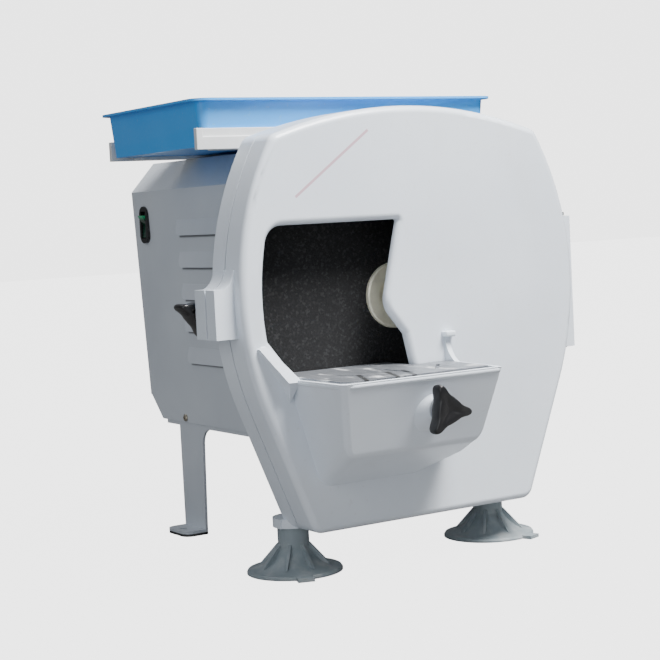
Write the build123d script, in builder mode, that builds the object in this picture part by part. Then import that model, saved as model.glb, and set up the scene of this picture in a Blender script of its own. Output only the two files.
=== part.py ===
"""Wet trimmer for plaster dental models, with its door, grit disc, motor and work table.

Millimetres, +Z up, the front faces -Y. The model is drawn with Y = 0 on the face of the door,
X = 0 in the middle of the castings and Z = 0 on the bench. Each piece is then moved sideways,
so that the origin lies under the middle of the whole machine.
"""

import copy
import os
from math import acos, atan2, cos, hypot, radians, sin, sqrt, tan

from build123d import *

# Front view of the two castings
FOOT_Z = 39.0
FOOT_HALF = 113.5
WIDE_Z = 235.0
WIDE_HALF = 172.0
SIDE_RADIUS = 253.0
SHOULDER_Z = 366.0
CROWN_Z = 388.5
CORNER_RADIUS = 12.0

# Depths of the castings, counted back from the face of the door
DOOR_DEPTH = 26.5
DOOR_WALL = 5.0
FACE_PLATE = 7.0
FACE_ROUND = 6.0
JOINT_GAP = 1.5
GASKET_INSET = 1.0
GASKET_WIDTH = 4.0
GASKET_CLEAR = 0.3
FLANGE_DEPTH = 20.0
HOUSING_WALL = 4.0
DRUM_DEPTH = 19.0

# Grit disc and what it turns on
HUB_Z = 228.0
DISC_RADIUS = 152.5
DISC_THICK = 4.0
DISC_FRONT = 38.0
DISC_ROOM = 3.5
PLATE_RADIUS = 148.0
PLATE_THICK = 7.0
PLATE_HUB_RADIUS = 30.0
PLATE_HUB_DEPTH = 9.0
WASHER_RADIUS = 28.5
WASHER_THICK = 4.0
WASHER_DISH = 17.0
SCREW_HEAD_RADIUS = 10.0
SCREW_HEAD_THICK = 6.0
SCREW_RADIUS = 4.0
SHAFT_RADIUS = 8.0
SEAL_RADIUS = 15.0
SEAL_WIDTH = 8.0
SEAL_BOSS = 6.0
SLINGER_THICK = 3.5
RUNNING_FIT = 0.05
SEAT_FIT = 0.03

# Window of the door
WINDOW_TOP = 299.0
WINDOW_TOP_LEFT = -147.0
WINDOW_TOP_RIGHT = -9.5
WINDOW_BULGE_LEFT = -156.5
WINDOW_BULGE_Z = 236.0
WINDOW_SLOPE_LEFT = -154.0
WINDOW_SLOPE_Z = 199.0
WINDOW_PINCH = -28.5
WINDOW_PINCH_Z = 223.0
WINDOW_SILL_LEFT = -131.0
WINDOW_SILL_RIGHT = -3.0
WINDOW_FOOT_Z = 112.0
WINDOW_ROUND = 5.5

# Hopper moulded on the door, around the work table
RIM_Z = 169.5
RIM_LEFT = -133.6
RIM_RIGHT = 31.0
RIM_RIGHT_FRONT = 23.4
HOPPER_REACH = 81.4
HOPPER_FOOT_REACH = 55.0
HOPPER_FOOT_Z = 108.0
HOPPER_ROOT_Z = 78.0
HOPPER_ROOT_LEFT = -107.0
HOPPER_ROOT_RIGHT = -8.0
HOPPER_HEEL_Z = 104.0
HOPPER_HEEL_IN = 8.0
HOPPER_WALL = 4.5
HOPPER_ROUND = 12.0
HOPPER_CORNER = 5.5
FIN_TOP_Z = 197.0
FIN_REACH = 17.0
FIN_THICK = 4.5

# Work table, tilting on a rod and clamped by the front knob
TABLE_TOP_Z = 170.5
TABLE_THICK = 5.0
TABLE_GAP = 2.2
DISC_GAP = 1.6
ROD_RADIUS = 4.0
ROD_BACK = 10.0
ROD_Z = 157.0
ROD_SOCKET = 2.5
TONGUE_LEFT = -121.0
TONGUE_RIGHT = -13.0
GROOVES = ((-88.0, -38.0, 38.0), (-50.0, -36.0, 0.0), (-12.0, -38.0, -38.0))
GROOVE_WIDTH = 3.0
GROOVE_LENGTH = 42.0
GROOVE_DEPTH = 1.5
BRACKET_LEFT = -100.0
BRACKET_RIGHT = -12.0
BRACKET_THICK = 4.0
BRACKET_HALF = 17.0
BRACKET_FOOT_Z = 127.0
KNOB_X = -43.0
KNOB_Z = 141.5
KNOB_RADIUS = 23.0
KNOB_THICK = 13.0
KNOB_ARM = 11.0
KNOB_HUB_RADIUS = 11.0
KNOB_TURN = -9.0
KNOB_NECK = 3.4
KNOB_GRIP = 12.0
BOSS_FACE = 80.0
BOSS_RADIUS = 9.5
BOSS_FOOT_RADIUS = 23.0
STUD_RADIUS = 4.0
STUD_CLEAR = 0.4
NUT_RADIUS = 9.0
NUT_THICK = 6.0
STUD_END = 46.0
SLOT_TRAVEL = 7.0

# Latch on the left and hinge on the right
EAR_REACH = 18.0
LATCH_LOW = 205.0
LATCH_HIGH = 245.0
EAR_FACE = 12.0
EAR_BACK = 45.0
EAR_SWEEP = 15.0
EAR_ROOT = 30.0
LATCH_REACH = 10.0
LATCH_Z = 225.0
LATCH_WASHER_THICK = 1.6
LATCH_KNOB_TURN = 38.0
LATCH_KNOB_THICK = 20.0
LATCH_KNOB_RADIUS = 21.0
LATCH_BITE = 11.5
HINGE_LOW = 169.0
HINGE_HIGH = 288.0
HINGE_MIDDLE = 61.0
KNUCKLE_RADIUS = 9.0
KNUCKLE_GAP = 0.5
PIN_RADIUS = 3.0
PIN_HEAD = 3.0

# Motor, hung on the back of the drum
MOTOR_FRONT = 84.0
BELL_DEPTH = 18.0
SHELL_LENGTH = 130.0
SHELL_RADIUS = 74.0
SHELL_WALL = 3.0
BELL_RADIUS = 76.0
BELL_WALL = 5.0
STATOR_BORE = 43.0
STATOR_LENGTH = 80.0
ROTOR_GAP = 0.6
BEARING_RADIUS = 20.0
BEARING_WIDTH = 12.0
BOSS_CIRCLE = 58.0
BOSS_PAD_RADIUS = 8.0
FAN_RADIUS = 56.0
FAN_DEPTH = 14.0
FAN_BLADES = 8
BOLT_RADIUS = 3.0
BOLT_HEAD_RADIUS = 5.5
BOLT_HEAD = 4.0
NUT_ACROSS = 5.7
NUT_HEIGHT = 5.0
CRADLE_HALF = 60.0
SADDLE_THICK = 5.0
CAPACITOR_RADIUS = 17.0
CAPACITOR_LENGTH = 84.0
CAPACITOR_GAP = 3.0
CLAMP_WIDTH = 28.0
CLAMP_LENGTH = 24.0

# Chassis of folded sheet with two rear legs
SHEET = 2.5
DECK_Z = 117.0
DECK_HALF = 84.0
SKIRT = 14.0
DECK_BACK = 320.0
FLANGE_BOLT_X = 45.0
FLANGE_BOLT_Z = 98.0
LEG_FRONT = 248.0
LEG_BACK = 294.0
LEG_ARCH = 16.0
FOOT_WIDTH = 24.0
PAD_THICK = 2.5
FOOT_HOLE_RADIUS = 3.5
FOOT_BOLT_OUT = 13.0

# Motor cover with louvres
COVER_SHEET = 1.5
COVER_FIT = 0.1
COVER_FOOT_Z = 107.0
COVER_BACK = 348.0
COVER_HEEL_Z = 130.0
COVER_HEEL_Y = 324.0
COVER_SCREWS_Y = (96.0, 276.0)
COVER_SCREW_Z = 111.5
COVER_SCREW_RADIUS = 3.6
COVER_SCREW_SHANK = 1.8
GLAND_X = 55.0
GLAND_Z = 150.0
GLAND_RADIUS = 8.0
GLAND_BORE = 4.0
FOLD_Z = 332.0
COVER_FLARE = 9.4
ROOF_Z = 360.0
SHOULDER_WIDTH = 26.0
LOUVRES = 5
LOUVRE_TOP_Z = 288.0
LOUVRE_PITCH = 30.4
LOUVRE_BACK = 256.0
LOUVRE_LENGTH = 118.0
LOUVRE_HEIGHT = 15.0
LOUVRE_PROUD = 4.0
SWITCH_Y = 323.0
SWITCH_Z = 299.5
SWITCH_LONG = 36.0
SWITCH_WIDE = 16.0
ROCKER_LONG = 24.0
ROCKER_WIDE = 9.0
ROCKER_TILT = 12.0
ROCKER_PIN_RADIUS = 1.5
ROCKER_PIN = 1.5

# Pan on two rails over the roof
PAN_RIM_Z = 403.0
PAN_BOTTOM_Z = 363.0
PAN_LIP_HALF = 158.5
PAN_FRONT = 84.0
PAN_DEPTH = 196.0
PAN_LIP = 6.5
PAN_DRAFT = 6.0
PAN_WALL = 2.0
RAIL_HEIGHT = 18.0
RAIL_THICK = 5.0
RAIL_FOOT = 20.0
RAIL_FOOT_THICK = 3.0
RAIL_HALF = 157.0
RAIL_CLEAR = 0.3

# Suction cups under the front
CUP_X = 104.4
CUP_Y = 54.0
CUP_RADIUS = 41.0
CUP_NECK_RADIUS = 13.5
CUP_SKIRT_Z = 17.0
CUP_RIBS = 8
LUG_THICK = 8.0
LUG_RADIUS = 17.0
CUP_HOLLOW_Z = 8.0
CUP_SOCKET = 14.0
CUP_TAB_TURN = {-1: 250.0, 1: 290.0}

# Water
TUBE_RADIUS = 4.0
TUBE_BORE = 2.8
TUBE_Z = 306.0
TUBE_DEPTH = 31.0
TUBE_REACH = 60.0
INLET_X = 124.0
INLET_Z = 343.0
INLET_RADIUS = 5.0
INLET_LENGTH = 28.0
SPOUT_RADIUS = 11.5
SPOUT_BORE = 9.0
SPOUT_SHOULDER = 1.0
SPOUT_Z = 55.0
SPOUT_LENGTH = 40.0

HOUSING_FRONT = DOOR_DEPTH + JOINT_GAP
FLANGE_BACK = HOUSING_FRONT + FLANGE_DEPTH
DRUM_BACK = FLANGE_BACK + DRUM_DEPTH
CHAMBER_RADIUS = DISC_RADIUS + DISC_ROOM
DRUM_RADIUS = CHAMBER_RADIUS + HOUSING_WALL
CHAMBER_BACK = DRUM_BACK - HOUSING_WALL
PLATE_FRONT = DISC_FRONT + DISC_THICK
PLATE_BACK = PLATE_FRONT + PLATE_THICK
HINGE_Y = DOOR_DEPTH + JOINT_GAP / 2
EAR_HALF = WIDE_HALF + EAR_REACH
LATCH_X = -WIDE_HALF - LATCH_REACH
HINGE_X = EAR_HALF - KNUCKLE_RADIUS
SHELL_FRONT = MOTOR_FRONT + BELL_DEPTH
SHELL_BACK = SHELL_FRONT + SHELL_LENGTH
MOTOR_BACK = SHELL_BACK + BELL_DEPTH
MOTOR_MIDDLE = (SHELL_FRONT + SHELL_BACK) / 2
MIDDLE_LOW = (HINGE_LOW + HINGE_HIGH - HINGE_MIDDLE) / 2
MIDDLE_HIGH = MIDDLE_LOW + HINGE_MIDDLE
FOOT_BOLT_X = DECK_HALF + FOOT_BOLT_OUT
COVER_FOOT_HALF = DECK_HALF + COVER_FIT + COVER_SHEET
FOLD_HALF = COVER_FOOT_HALF + COVER_FLARE
ROOF_HALF = FOLD_HALF - SHOULDER_WIDTH
COVER_LEAN = (FOLD_HALF - COVER_FOOT_HALF) / (FOLD_Z - COVER_FOOT_Z)
SHAFT_BACK = MOTOR_BACK + FAN_DEPTH + 6
TABLE_BACK = DISC_FRONT - DISC_GAP
WALL_LEAN = (HOPPER_REACH - HOPPER_FOOT_REACH) / (RIM_Z - HOPPER_FOOT_Z)
FLOOR_LEAN = (HOPPER_FOOT_Z - HOPPER_ROOT_Z) / HOPPER_FOOT_REACH
SIDE_LEAN = (HOPPER_ROOT_LEFT - RIM_LEFT) / (RIM_Z - HOPPER_ROOT_Z)
RIGHT_LEAN = HOPPER_HEEL_IN / (RIM_Z - HOPPER_HEEL_Z)
PLAN_LEAN = (RIM_RIGHT - RIM_RIGHT_FRONT) / HOPPER_REACH
ROD_LEFT = RIM_LEFT + (RIM_Z - ROD_Z) * SIDE_LEAN + HOPPER_WALL * hypot(1, SIDE_LEAN) - ROD_SOCKET
ROD_RIGHT = RIM_RIGHT - ROD_BACK * PLAN_LEAN - (RIM_Z - ROD_Z) * RIGHT_LEAN
ROD_RIGHT += ROD_SOCKET - HOPPER_WALL * hypot(1, PLAN_LEAN, RIGHT_LEAN)
TABLE_UNDER = TABLE_TOP_Z - TABLE_THICK
TABLE_FRONT = -HOPPER_FOOT_REACH - (TABLE_UNDER - HOPPER_FOOT_Z) * WALL_LEAN
TABLE_FRONT += HOPPER_WALL * hypot(1, WALL_LEAN) + TABLE_GAP
TABLE_LEFT = RIM_LEFT + (RIM_Z - TABLE_UNDER) * SIDE_LEAN + HOPPER_WALL * hypot(1, SIDE_LEAN) + TABLE_GAP
TABLE_RIGHT = RIM_RIGHT - (RIM_Z - TABLE_UNDER) * RIGHT_LEAN - TABLE_GAP
TABLE_RIGHT -= HOPPER_WALL * hypot(1, PLAN_LEAN, RIGHT_LEAN)
PANEL_FRONT = COVER_BACK - COVER_SHEET

pieces = []


def at_depth(y):
    """Plane facing the front, y behind the face: its x is the width and its y the height."""
    return Plane.XZ.offset(-y)


def turned(x, z, front, back, radius, mode=Mode.ADD):
    """Round bar or bore that runs from front to back, between two depths."""
    with BuildSketch(at_depth(front)) as ring:
        with Locations((x, z)):
            Circle(radius)
    extrude(ring.sketch, amount=front - back, mode=mode)


def upright(x, y, low, high, radius, mode=Mode.ADD):
    """Round bar or bore that stands upright, between two heights."""
    with BuildSketch(Plane.XY.offset(low)) as ring:
        with Locations((x, y)):
            Circle(radius)
    extrude(ring.sketch, amount=high - low, mode=mode)


def crossways(y, z, left, right, radius, mode=Mode.ADD):
    """Round bar or bore that runs from left to right, between two widths."""
    with BuildSketch(Plane.YZ.offset(left)) as ring:
        with Locations((y, z)):
            Circle(radius)
    extrude(ring.sketch, amount=right - left, mode=mode)


def slab(left, right, front, back, low, high, mode=Mode.ADD):
    """Straight block between six planes."""
    with Locations(((left + right) / 2, (front + back) / 2, (low + high) / 2)):
        Box(right - left, back - front, high - low, mode=mode)


def front_profile(points, front, back, mode=Mode.ADD, radius=0.0):
    """Outline in front view, carried from one depth to another."""
    with BuildSketch(at_depth(front)) as shape:
        with BuildLine():
            Polyline(*points, close=True)
        make_face()
        if radius:
            fillet(shape.vertices(), radius)
    extrude(shape.sketch, amount=front - back, mode=mode)


def side_profile(points, left, right, mode=Mode.ADD, radius=0.0):
    """Outline in side view, given as (y, z), carried across the width."""
    with BuildSketch(Plane.YZ.offset(left)) as shape:
        with BuildLine():
            Polyline(*points, close=True)
        make_face()
        if radius:
            fillet(shape.vertices(), radius)
    extrude(shape.sketch, amount=right - left, mode=mode)


def keep(builder, name):
    """Name a finished piece and remember it."""
    builder.part.label = name
    pieces.append(builder.part)


def outline(inset=0.0):
    """Front view of both castings: flat foot, leaning sides that curve in, arched crown."""
    side_x = WIDE_HALF - SIDE_RADIUS
    away = hypot(FOOT_HALF - side_x, FOOT_Z - WIDE_Z)
    turn = atan2(FOOT_Z - WIDE_Z, FOOT_HALF - side_x) + acos(SIDE_RADIUS / away)
    waist = (side_x + SIDE_RADIUS * cos(turn), WIDE_Z + SIDE_RADIUS * sin(turn))
    shoulder = (side_x + sqrt(SIDE_RADIUS**2 - (SHOULDER_Z - WIDE_Z) ** 2), SHOULDER_Z)
    with BuildSketch(mode=Mode.PRIVATE) as shape:
        with BuildLine():
            Polyline((-waist[0], waist[1]), (-FOOT_HALF, FOOT_Z), (FOOT_HALF, FOOT_Z), waist)
            ThreePointArc(waist, (WIDE_HALF, WIDE_Z), shoulder)
            ThreePointArc(shoulder, (0, CROWN_Z), (-shoulder[0], shoulder[1]))
            ThreePointArc((-shoulder[0], shoulder[1]), (-WIDE_HALF, WIDE_Z), (-waist[0], waist[1]))
        make_face()
        if inset:
            offset(amount=-inset, kind=Kind.INTERSECTION)
        corners = [v for v in shape.vertices() if abs(v.Y - waist[1]) > 8]
        fillet(corners, CORNER_RADIUS - inset)
    return shape.sketch


def window():
    """Window of the door at the back of its rounded edge, down to the sill inside the hopper."""
    with BuildSketch(mode=Mode.PRIVATE) as shape:
        with BuildLine():
            ThreePointArc(
                (WINDOW_SLOPE_LEFT, WINDOW_SLOPE_Z),
                (WINDOW_BULGE_LEFT, WINDOW_BULGE_Z),
                (WINDOW_TOP_LEFT, WINDOW_TOP),
            )
            Polyline(
                (WINDOW_TOP_LEFT, WINDOW_TOP),
                (WINDOW_TOP_RIGHT, WINDOW_TOP),
                (WINDOW_PINCH, WINDOW_PINCH_Z),
                (WINDOW_TOP_RIGHT, WINDOW_SLOPE_Z),
                (WINDOW_SILL_RIGHT, RIM_Z),
                (WINDOW_SILL_RIGHT, WINDOW_FOOT_Z),
                (WINDOW_SILL_LEFT + (RIM_Z - WINDOW_FOOT_Z) * SIDE_LEAN, WINDOW_FOOT_Z),
                (WINDOW_SILL_LEFT, RIM_Z),
                (WINDOW_SLOPE_LEFT, WINDOW_SLOPE_Z),
            )
        make_face()
        corners = shape.vertices().group_by(Axis.Y)
        fillet(corners[-1].sort_by(Axis.X)[0], 22)
        fillet(shape.vertices().sort_by(Axis.Y)[-1], 7)
        waist = [v for v in shape.vertices() if abs(v.Y - WINDOW_PINCH_Z) < 1]
        fillet(waist, 14)
        offset(amount=-WINDOW_ROUND)
    return shape.sketch


def hopper_block(wall):
    """Hopper as a full block, or the hollow inside it when a wall is given."""
    rise = 3 * wall
    heel_slope = (HOPPER_HEEL_Z - HOPPER_ROOT_Z) / (RIM_RIGHT - HOPPER_HEEL_IN - HOPPER_ROOT_RIGHT)
    with BuildPart(mode=Mode.PRIVATE) as block:
        with BuildSketch(at_depth(wall)):
            with BuildLine():
                Polyline(
                    (RIM_LEFT, RIM_Z),
                    (HOPPER_ROOT_LEFT, HOPPER_ROOT_Z),
                    (HOPPER_ROOT_RIGHT, HOPPER_ROOT_Z),
                    (RIM_RIGHT + rise, HOPPER_HEEL_Z + (HOPPER_HEEL_IN + rise) * heel_slope),
                    (RIM_RIGHT + rise, RIM_Z + rise),
                    (RIM_LEFT, RIM_Z + rise),
                    close=True,
                )
            make_face()
            offset(amount=-wall, kind=Kind.INTERSECTION)
        extrude(amount=HOPPER_REACH + 2 * wall)
        lip = HOPPER_REACH + rise * WALL_LEAN
        with BuildSketch(Plane.YZ.offset(RIM_LEFT)):
            with BuildLine():
                Polyline(
                    (wall, RIM_Z + rise),
                    (-lip, RIM_Z + rise),
                    (-HOPPER_FOOT_REACH, HOPPER_FOOT_Z),
                    (wall, HOPPER_ROOT_Z - wall * FLOOR_LEAN),
                    close=True,
                )
            make_face()
            offset(amount=-wall, kind=Kind.INTERSECTION)
        extrude(amount=RIM_RIGHT + rise - RIM_LEFT, mode=Mode.INTERSECT)
        along = Vector(-PLAN_LEAN, -1, 0)
        upward = Vector(RIGHT_LEAN, 0, 1)
        right_wall = Plane((RIM_RIGHT, 0, RIM_Z), x_dir=along, z_dir=upward.cross(along))
        split(bisect_by=right_wall.offset(-wall), keep=Keep.BOTTOM)
        outer = [e for e in block.edges() if e.center().Y < -1 and e.center().Z < RIM_Z - 1]
        tall = RIM_Z - HOPPER_FOOT_Z - 2 * HOPPER_ROUND
        corners = [e for e in outer if e.bounding_box().size.Z > tall and e.center().Y < -56]
        fillet([e for e in outer if e not in corners], HOPPER_ROUND - wall)
        corners = [e for e in block.edges() if e.bounding_box().size.Z > tall and e.center().Y < -56]
        fillet(corners, HOPPER_CORNER - wall)
    return block.part


def cheek():
    """Wedge on the left of the hopper that carries its rim up to the window edge."""
    with BuildPart(mode=Mode.PRIVATE) as wedge:
        side_profile([(0, 198), (-3, 197), (-16, 168), (0, 150)], -162, -128)
        with BuildSketch(Plane.XZ):
            with BuildLine():
                Polyline(
                    (-160.5, 196),
                    (-154.5, 199.3),
                    (-131.2, 170.2),
                    (-133, 150),
                    (-140, 165),
                    close=True,
                )
            make_face()
        extrude(amount=17, mode=Mode.INTERSECT)
    return wedge.part


def louvre(side, low, wall):
    """Louvre pressed out of the cover, open at its foot; with a wall given, the room behind it."""
    high = low + LOUVRE_HEIGHT
    lip = skin_x(low) + LOUVRE_PROUD - wall
    with BuildPart(mode=Mode.PRIVATE) as wedge:
        front_profile(
            [
                (side * (skin_x(high) - wall), high),
                (side * lip, low),
                (side * (skin_x(low) - 3), low),
                (side * (skin_x(high) - 3), high),
            ],
            LOUVRE_BACK - LOUVRE_LENGTH + wall,
            LOUVRE_BACK - wall,
        )
        with BuildSketch(Plane.YZ.offset(-FOLD_HALF - LOUVRE_PROUD)) as face:
            with Locations((LOUVRE_BACK - LOUVRE_LENGTH / 2, low + LOUVRE_HEIGHT)):
                RectangleRounded(LOUVRE_LENGTH - 2 * wall, 2 * LOUVRE_HEIGHT, 8 - wall)
        extrude(amount=2 * (FOLD_HALF + LOUVRE_PROUD), mode=Mode.INTERSECT)
    return wedge.part


def ear(side, half, low, high, front, back):
    """Ear on the side of a casting, its top swept up into the wall."""
    knee = half - 8
    root = EAR_HALF - EAR_ROOT
    with BuildSketch(at_depth(front), mode=Mode.PRIVATE) as shape:
        with BuildLine():
            Polyline(
                (side * root, high + EAR_SWEEP),
                (side * root, low),
                (side * half, low),
                (side * half, high),
                (side * knee, high),
            )
            ThreePointArc(
                (side * knee, high),
                (side * (knee - 6), high + EAR_SWEEP * 0.3),
                (side * (knee - 10), high + EAR_SWEEP),
            )
            Line((side * (knee - 10), high + EAR_SWEEP), (side * root, high + EAR_SWEEP))
        make_face()
    extrude(shape.sketch, amount=front - back)


def cover_section(inset):
    """Front view of the motor cover: leaning sides, sloped shoulders and a flat roof."""
    foot = COVER_FOOT_Z - 4 * inset
    foot_half = COVER_FOOT_HALF - 4 * inset * COVER_LEAN
    with BuildSketch(mode=Mode.PRIVATE) as shape:
        with BuildLine():
            Polyline(
                (-foot_half, foot),
                (-FOLD_HALF, FOLD_Z),
                (-ROOF_HALF, ROOF_Z),
                (ROOF_HALF, ROOF_Z),
                (FOLD_HALF, FOLD_Z),
                (foot_half, foot),
                close=True,
            )
        make_face()
        if inset:
            offset(amount=-inset, kind=Kind.INTERSECTION)
    return shape.sketch


def skin_x(z):
    """Half width of the cover at a height on its leaning side."""
    return COVER_FOOT_HALF + (z - COVER_FOOT_Z) * COVER_LEAN


def knob_arms(x, z, front, thick, turn, reach):
    """Three-lobe knob on an axis from front to back: round hub, arms that narrow to their tip."""
    with BuildSketch(mode=Mode.PRIVATE) as arm:
        with BuildLine():
            Polyline(
                (0, KNOB_ARM / 2 + 1.5),
                (reach - 3, KNOB_ARM / 2 - 1),
                (reach, 0),
                (reach - 3, 1 - KNOB_ARM / 2),
                (0, -KNOB_ARM / 2 - 1.5),
                close=True,
            )
        make_face()
    with BuildSketch(at_depth(front)) as star:
        with Locations((x, z)):
            Circle(KNOB_HUB_RADIUS)
            with PolarLocations(0, 3, start_angle=turn):
                add(arm.sketch)
    extrude(star.sketch, amount=-thick)


with BuildPart() as door:
    with BuildSketch(at_depth(0)):
        add(outline())
    extrude(amount=-DOOR_DEPTH)
    fillet(door.faces().sort_by(Axis.Y)[0].edges(), FACE_ROUND)
    with BuildSketch(at_depth(FACE_PLATE)):
        add(outline(DOOR_WALL))
    extrude(amount=FACE_PLATE - DOOR_DEPTH, mode=Mode.SUBTRACT)
    with BuildSketch(at_depth(0)):
        add(window())
    extrude(amount=-FACE_PLATE, mode=Mode.SUBTRACT)
    fillet(door.faces().sort_by(Axis.Y)[0].inner_wires()[0].edges(), WINDOW_ROUND)
    # Hopper with the conical boss for the knob, then its hollow
    add(hopper_block(0))
    with BuildSketch(at_depth(-BOSS_FACE)) as boss_tip:
        with Locations((KNOB_X, KNOB_Z)):
            Circle(BOSS_RADIUS)
    with BuildSketch(at_depth(-HOPPER_FOOT_REACH)) as boss_foot:
        with Locations((KNOB_X, KNOB_Z)):
            Circle(BOSS_FOOT_RADIUS)
    loft([boss_foot.sketch.face(), boss_tip.sketch.face()])
    add(hopper_block(HOPPER_WALL), mode=Mode.SUBTRACT)
    turned(KNOB_X, KNOB_Z, -BOSS_FACE, -HOPPER_FOOT_REACH, STUD_RADIUS + STUD_CLEAR, Mode.SUBTRACT)
    # Cheek that carries the rim up to the window, and the gusset on the other side
    add(cheek())
    with BuildSketch(Plane.YZ.offset(RIM_RIGHT - FIN_THICK - 2)) as fin:
        with BuildLine():
            Line((0.5, FIN_TOP_Z), (-2, FIN_TOP_Z))
            ThreePointArc((-2, FIN_TOP_Z), (-5, RIM_Z + 9), (-FIN_REACH, RIM_Z - 1))
            Line((-FIN_REACH, RIM_Z - 1), (0.5, RIM_Z - 1))
            Line((0.5, RIM_Z - 1), (0.5, FIN_TOP_Z))
        make_face()
    extrude(fin.sketch, amount=FIN_THICK)
    # Sockets for the tilt rod in the two side walls
    crossways(-ROD_BACK, ROD_Z, ROD_LEFT, ROD_RIGHT, ROD_RADIUS + SEAT_FIT, Mode.SUBTRACT)
    # Latch ear, hinge ear and the two door knuckles
    ear(-1, EAR_HALF, LATCH_LOW, LATCH_HIGH, EAR_FACE, DOOR_DEPTH)
    turned(LATCH_X, LATCH_Z, DOOR_DEPTH - LATCH_BITE - 1, DOOR_DEPTH, STUD_RADIUS + STUD_CLEAR, Mode.SUBTRACT)
    ear(1, HINGE_X, HINGE_LOW, HINGE_HIGH, EAR_FACE, DOOR_DEPTH)
    upright(HINGE_X, HINGE_Y, HINGE_LOW, HINGE_HIGH, KNUCKLE_RADIUS)
    upright(
        HINGE_X,
        HINGE_Y,
        MIDDLE_LOW - KNUCKLE_GAP,
        MIDDLE_HIGH + KNUCKLE_GAP,
        KNUCKLE_RADIUS + KNUCKLE_GAP,
        Mode.SUBTRACT,
    )
    upright(HINGE_X, HINGE_Y, HINGE_LOW, HINGE_HIGH, PIN_RADIUS + RUNNING_FIT, Mode.SUBTRACT)
keep(door, "door")

with BuildPart() as housing:
    with BuildSketch(at_depth(HOUSING_FRONT)):
        add(outline())
    extrude(amount=-FLANGE_DEPTH)
    turned(0, HUB_Z, FLANGE_BACK - 1, DRUM_BACK, DRUM_RADIUS)
    # Shaft boss, motor bosses and lugs for the suction cups
    turned(0, HUB_Z, DRUM_BACK, DRUM_BACK + SEAL_BOSS, SEAL_RADIUS + 7)
    with BuildSketch(at_depth(DRUM_BACK)) as bosses:
        with Locations((0, HUB_Z)):
            with PolarLocations(BOSS_CIRCLE, 4, start_angle=45):
                Circle(BOSS_PAD_RADIUS)
    extrude(bosses.sketch, amount=DRUM_BACK - MOTOR_FRONT)
    for side in (-1, 1):
        with BuildSketch(Plane.XY.offset(FOOT_Z)) as lug:
            with Locations((side * CUP_X, CUP_Y)):
                Circle(LUG_RADIUS)
            with Locations((side * CUP_X, (CUP_Y + FLANGE_BACK - 2) / 2)):
                Rectangle(2 * LUG_RADIUS, CUP_Y - FLANGE_BACK + 2)
        extrude(lug.sketch, amount=LUG_THICK)
    # Hinge knuckle and latch ear
    ear(-1, EAR_HALF, LATCH_LOW, LATCH_HIGH, HOUSING_FRONT, EAR_BACK)
    ear(1, HINGE_X, HINGE_LOW, HINGE_HIGH, HOUSING_FRONT, EAR_BACK)
    upright(HINGE_X, HINGE_Y, MIDDLE_LOW, MIDDLE_HIGH, KNUCKLE_RADIUS)
    # Hollow chamber
    with BuildSketch(at_depth(HOUSING_FRONT)) as hollow:
        add(outline(HOUSING_WALL))
    extrude(hollow.sketch, amount=HOUSING_WALL - FLANGE_DEPTH, mode=Mode.SUBTRACT)
    turned(0, HUB_Z, HOUSING_FRONT, CHAMBER_BACK, CHAMBER_RADIUS, Mode.SUBTRACT)
    # Bores
    turned(0, HUB_Z, CHAMBER_BACK, DRUM_BACK + SEAL_BOSS, SHAFT_RADIUS + 1, Mode.SUBTRACT)
    turned(0, HUB_Z, CHAMBER_BACK, CHAMBER_BACK + SEAL_WIDTH, SEAL_RADIUS + SEAT_FIT, Mode.SUBTRACT)
    with BuildSketch(at_depth(CHAMBER_BACK)) as bolt_bores:
        with Locations((0, HUB_Z)):
            with PolarLocations(BOSS_CIRCLE, 4, start_angle=45):
                Circle(BOLT_RADIUS + SEAT_FIT)
    extrude(bolt_bores.sketch, amount=CHAMBER_BACK - MOTOR_FRONT, mode=Mode.SUBTRACT)
    for side in (-1, 1):
        upright(side * CUP_X, CUP_Y, FOOT_Z, FOOT_Z + LUG_THICK, BOLT_RADIUS + SEAT_FIT, Mode.SUBTRACT)
        bolt_x = side * FLANGE_BOLT_X
        turned(bolt_x, FLANGE_BOLT_Z, CHAMBER_BACK, DRUM_BACK, BOLT_RADIUS + SEAT_FIT, Mode.SUBTRACT)
    turned(LATCH_X, LATCH_Z, HOUSING_FRONT, EAR_BACK, STUD_RADIUS + STUD_CLEAR, Mode.SUBTRACT)
    wall_front = FLANGE_BACK - HOUSING_WALL
    turned(0, SPOUT_Z, wall_front, FLANGE_BACK, SPOUT_RADIUS - SPOUT_SHOULDER + SEAT_FIT, Mode.SUBTRACT)
    turned(INLET_X, INLET_Z, wall_front, FLANGE_BACK, INLET_RADIUS + SEAT_FIT, Mode.SUBTRACT)
    for low, high in ((HINGE_LOW - KNUCKLE_GAP, MIDDLE_LOW), (MIDDLE_HIGH, HINGE_HIGH + EAR_SWEEP)):
        upright(HINGE_X, HINGE_Y, low, high, KNUCKLE_RADIUS + KNUCKLE_GAP, Mode.SUBTRACT)
    upright(HINGE_X, HINGE_Y, MIDDLE_LOW, MIDDLE_HIGH, PIN_RADIUS + RUNNING_FIT, Mode.SUBTRACT)
keep(housing, "housing")

with BuildPart() as door_gasket:
    with BuildSketch(at_depth(HOUSING_FRONT - JOINT_GAP + GASKET_CLEAR)):
        add(outline(GASKET_INSET))
        add(outline(GASKET_INSET + GASKET_WIDTH), mode=Mode.SUBTRACT)
    extrude(amount=GASKET_CLEAR - JOINT_GAP)
keep(door_gasket, "door_gasket")

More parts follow.
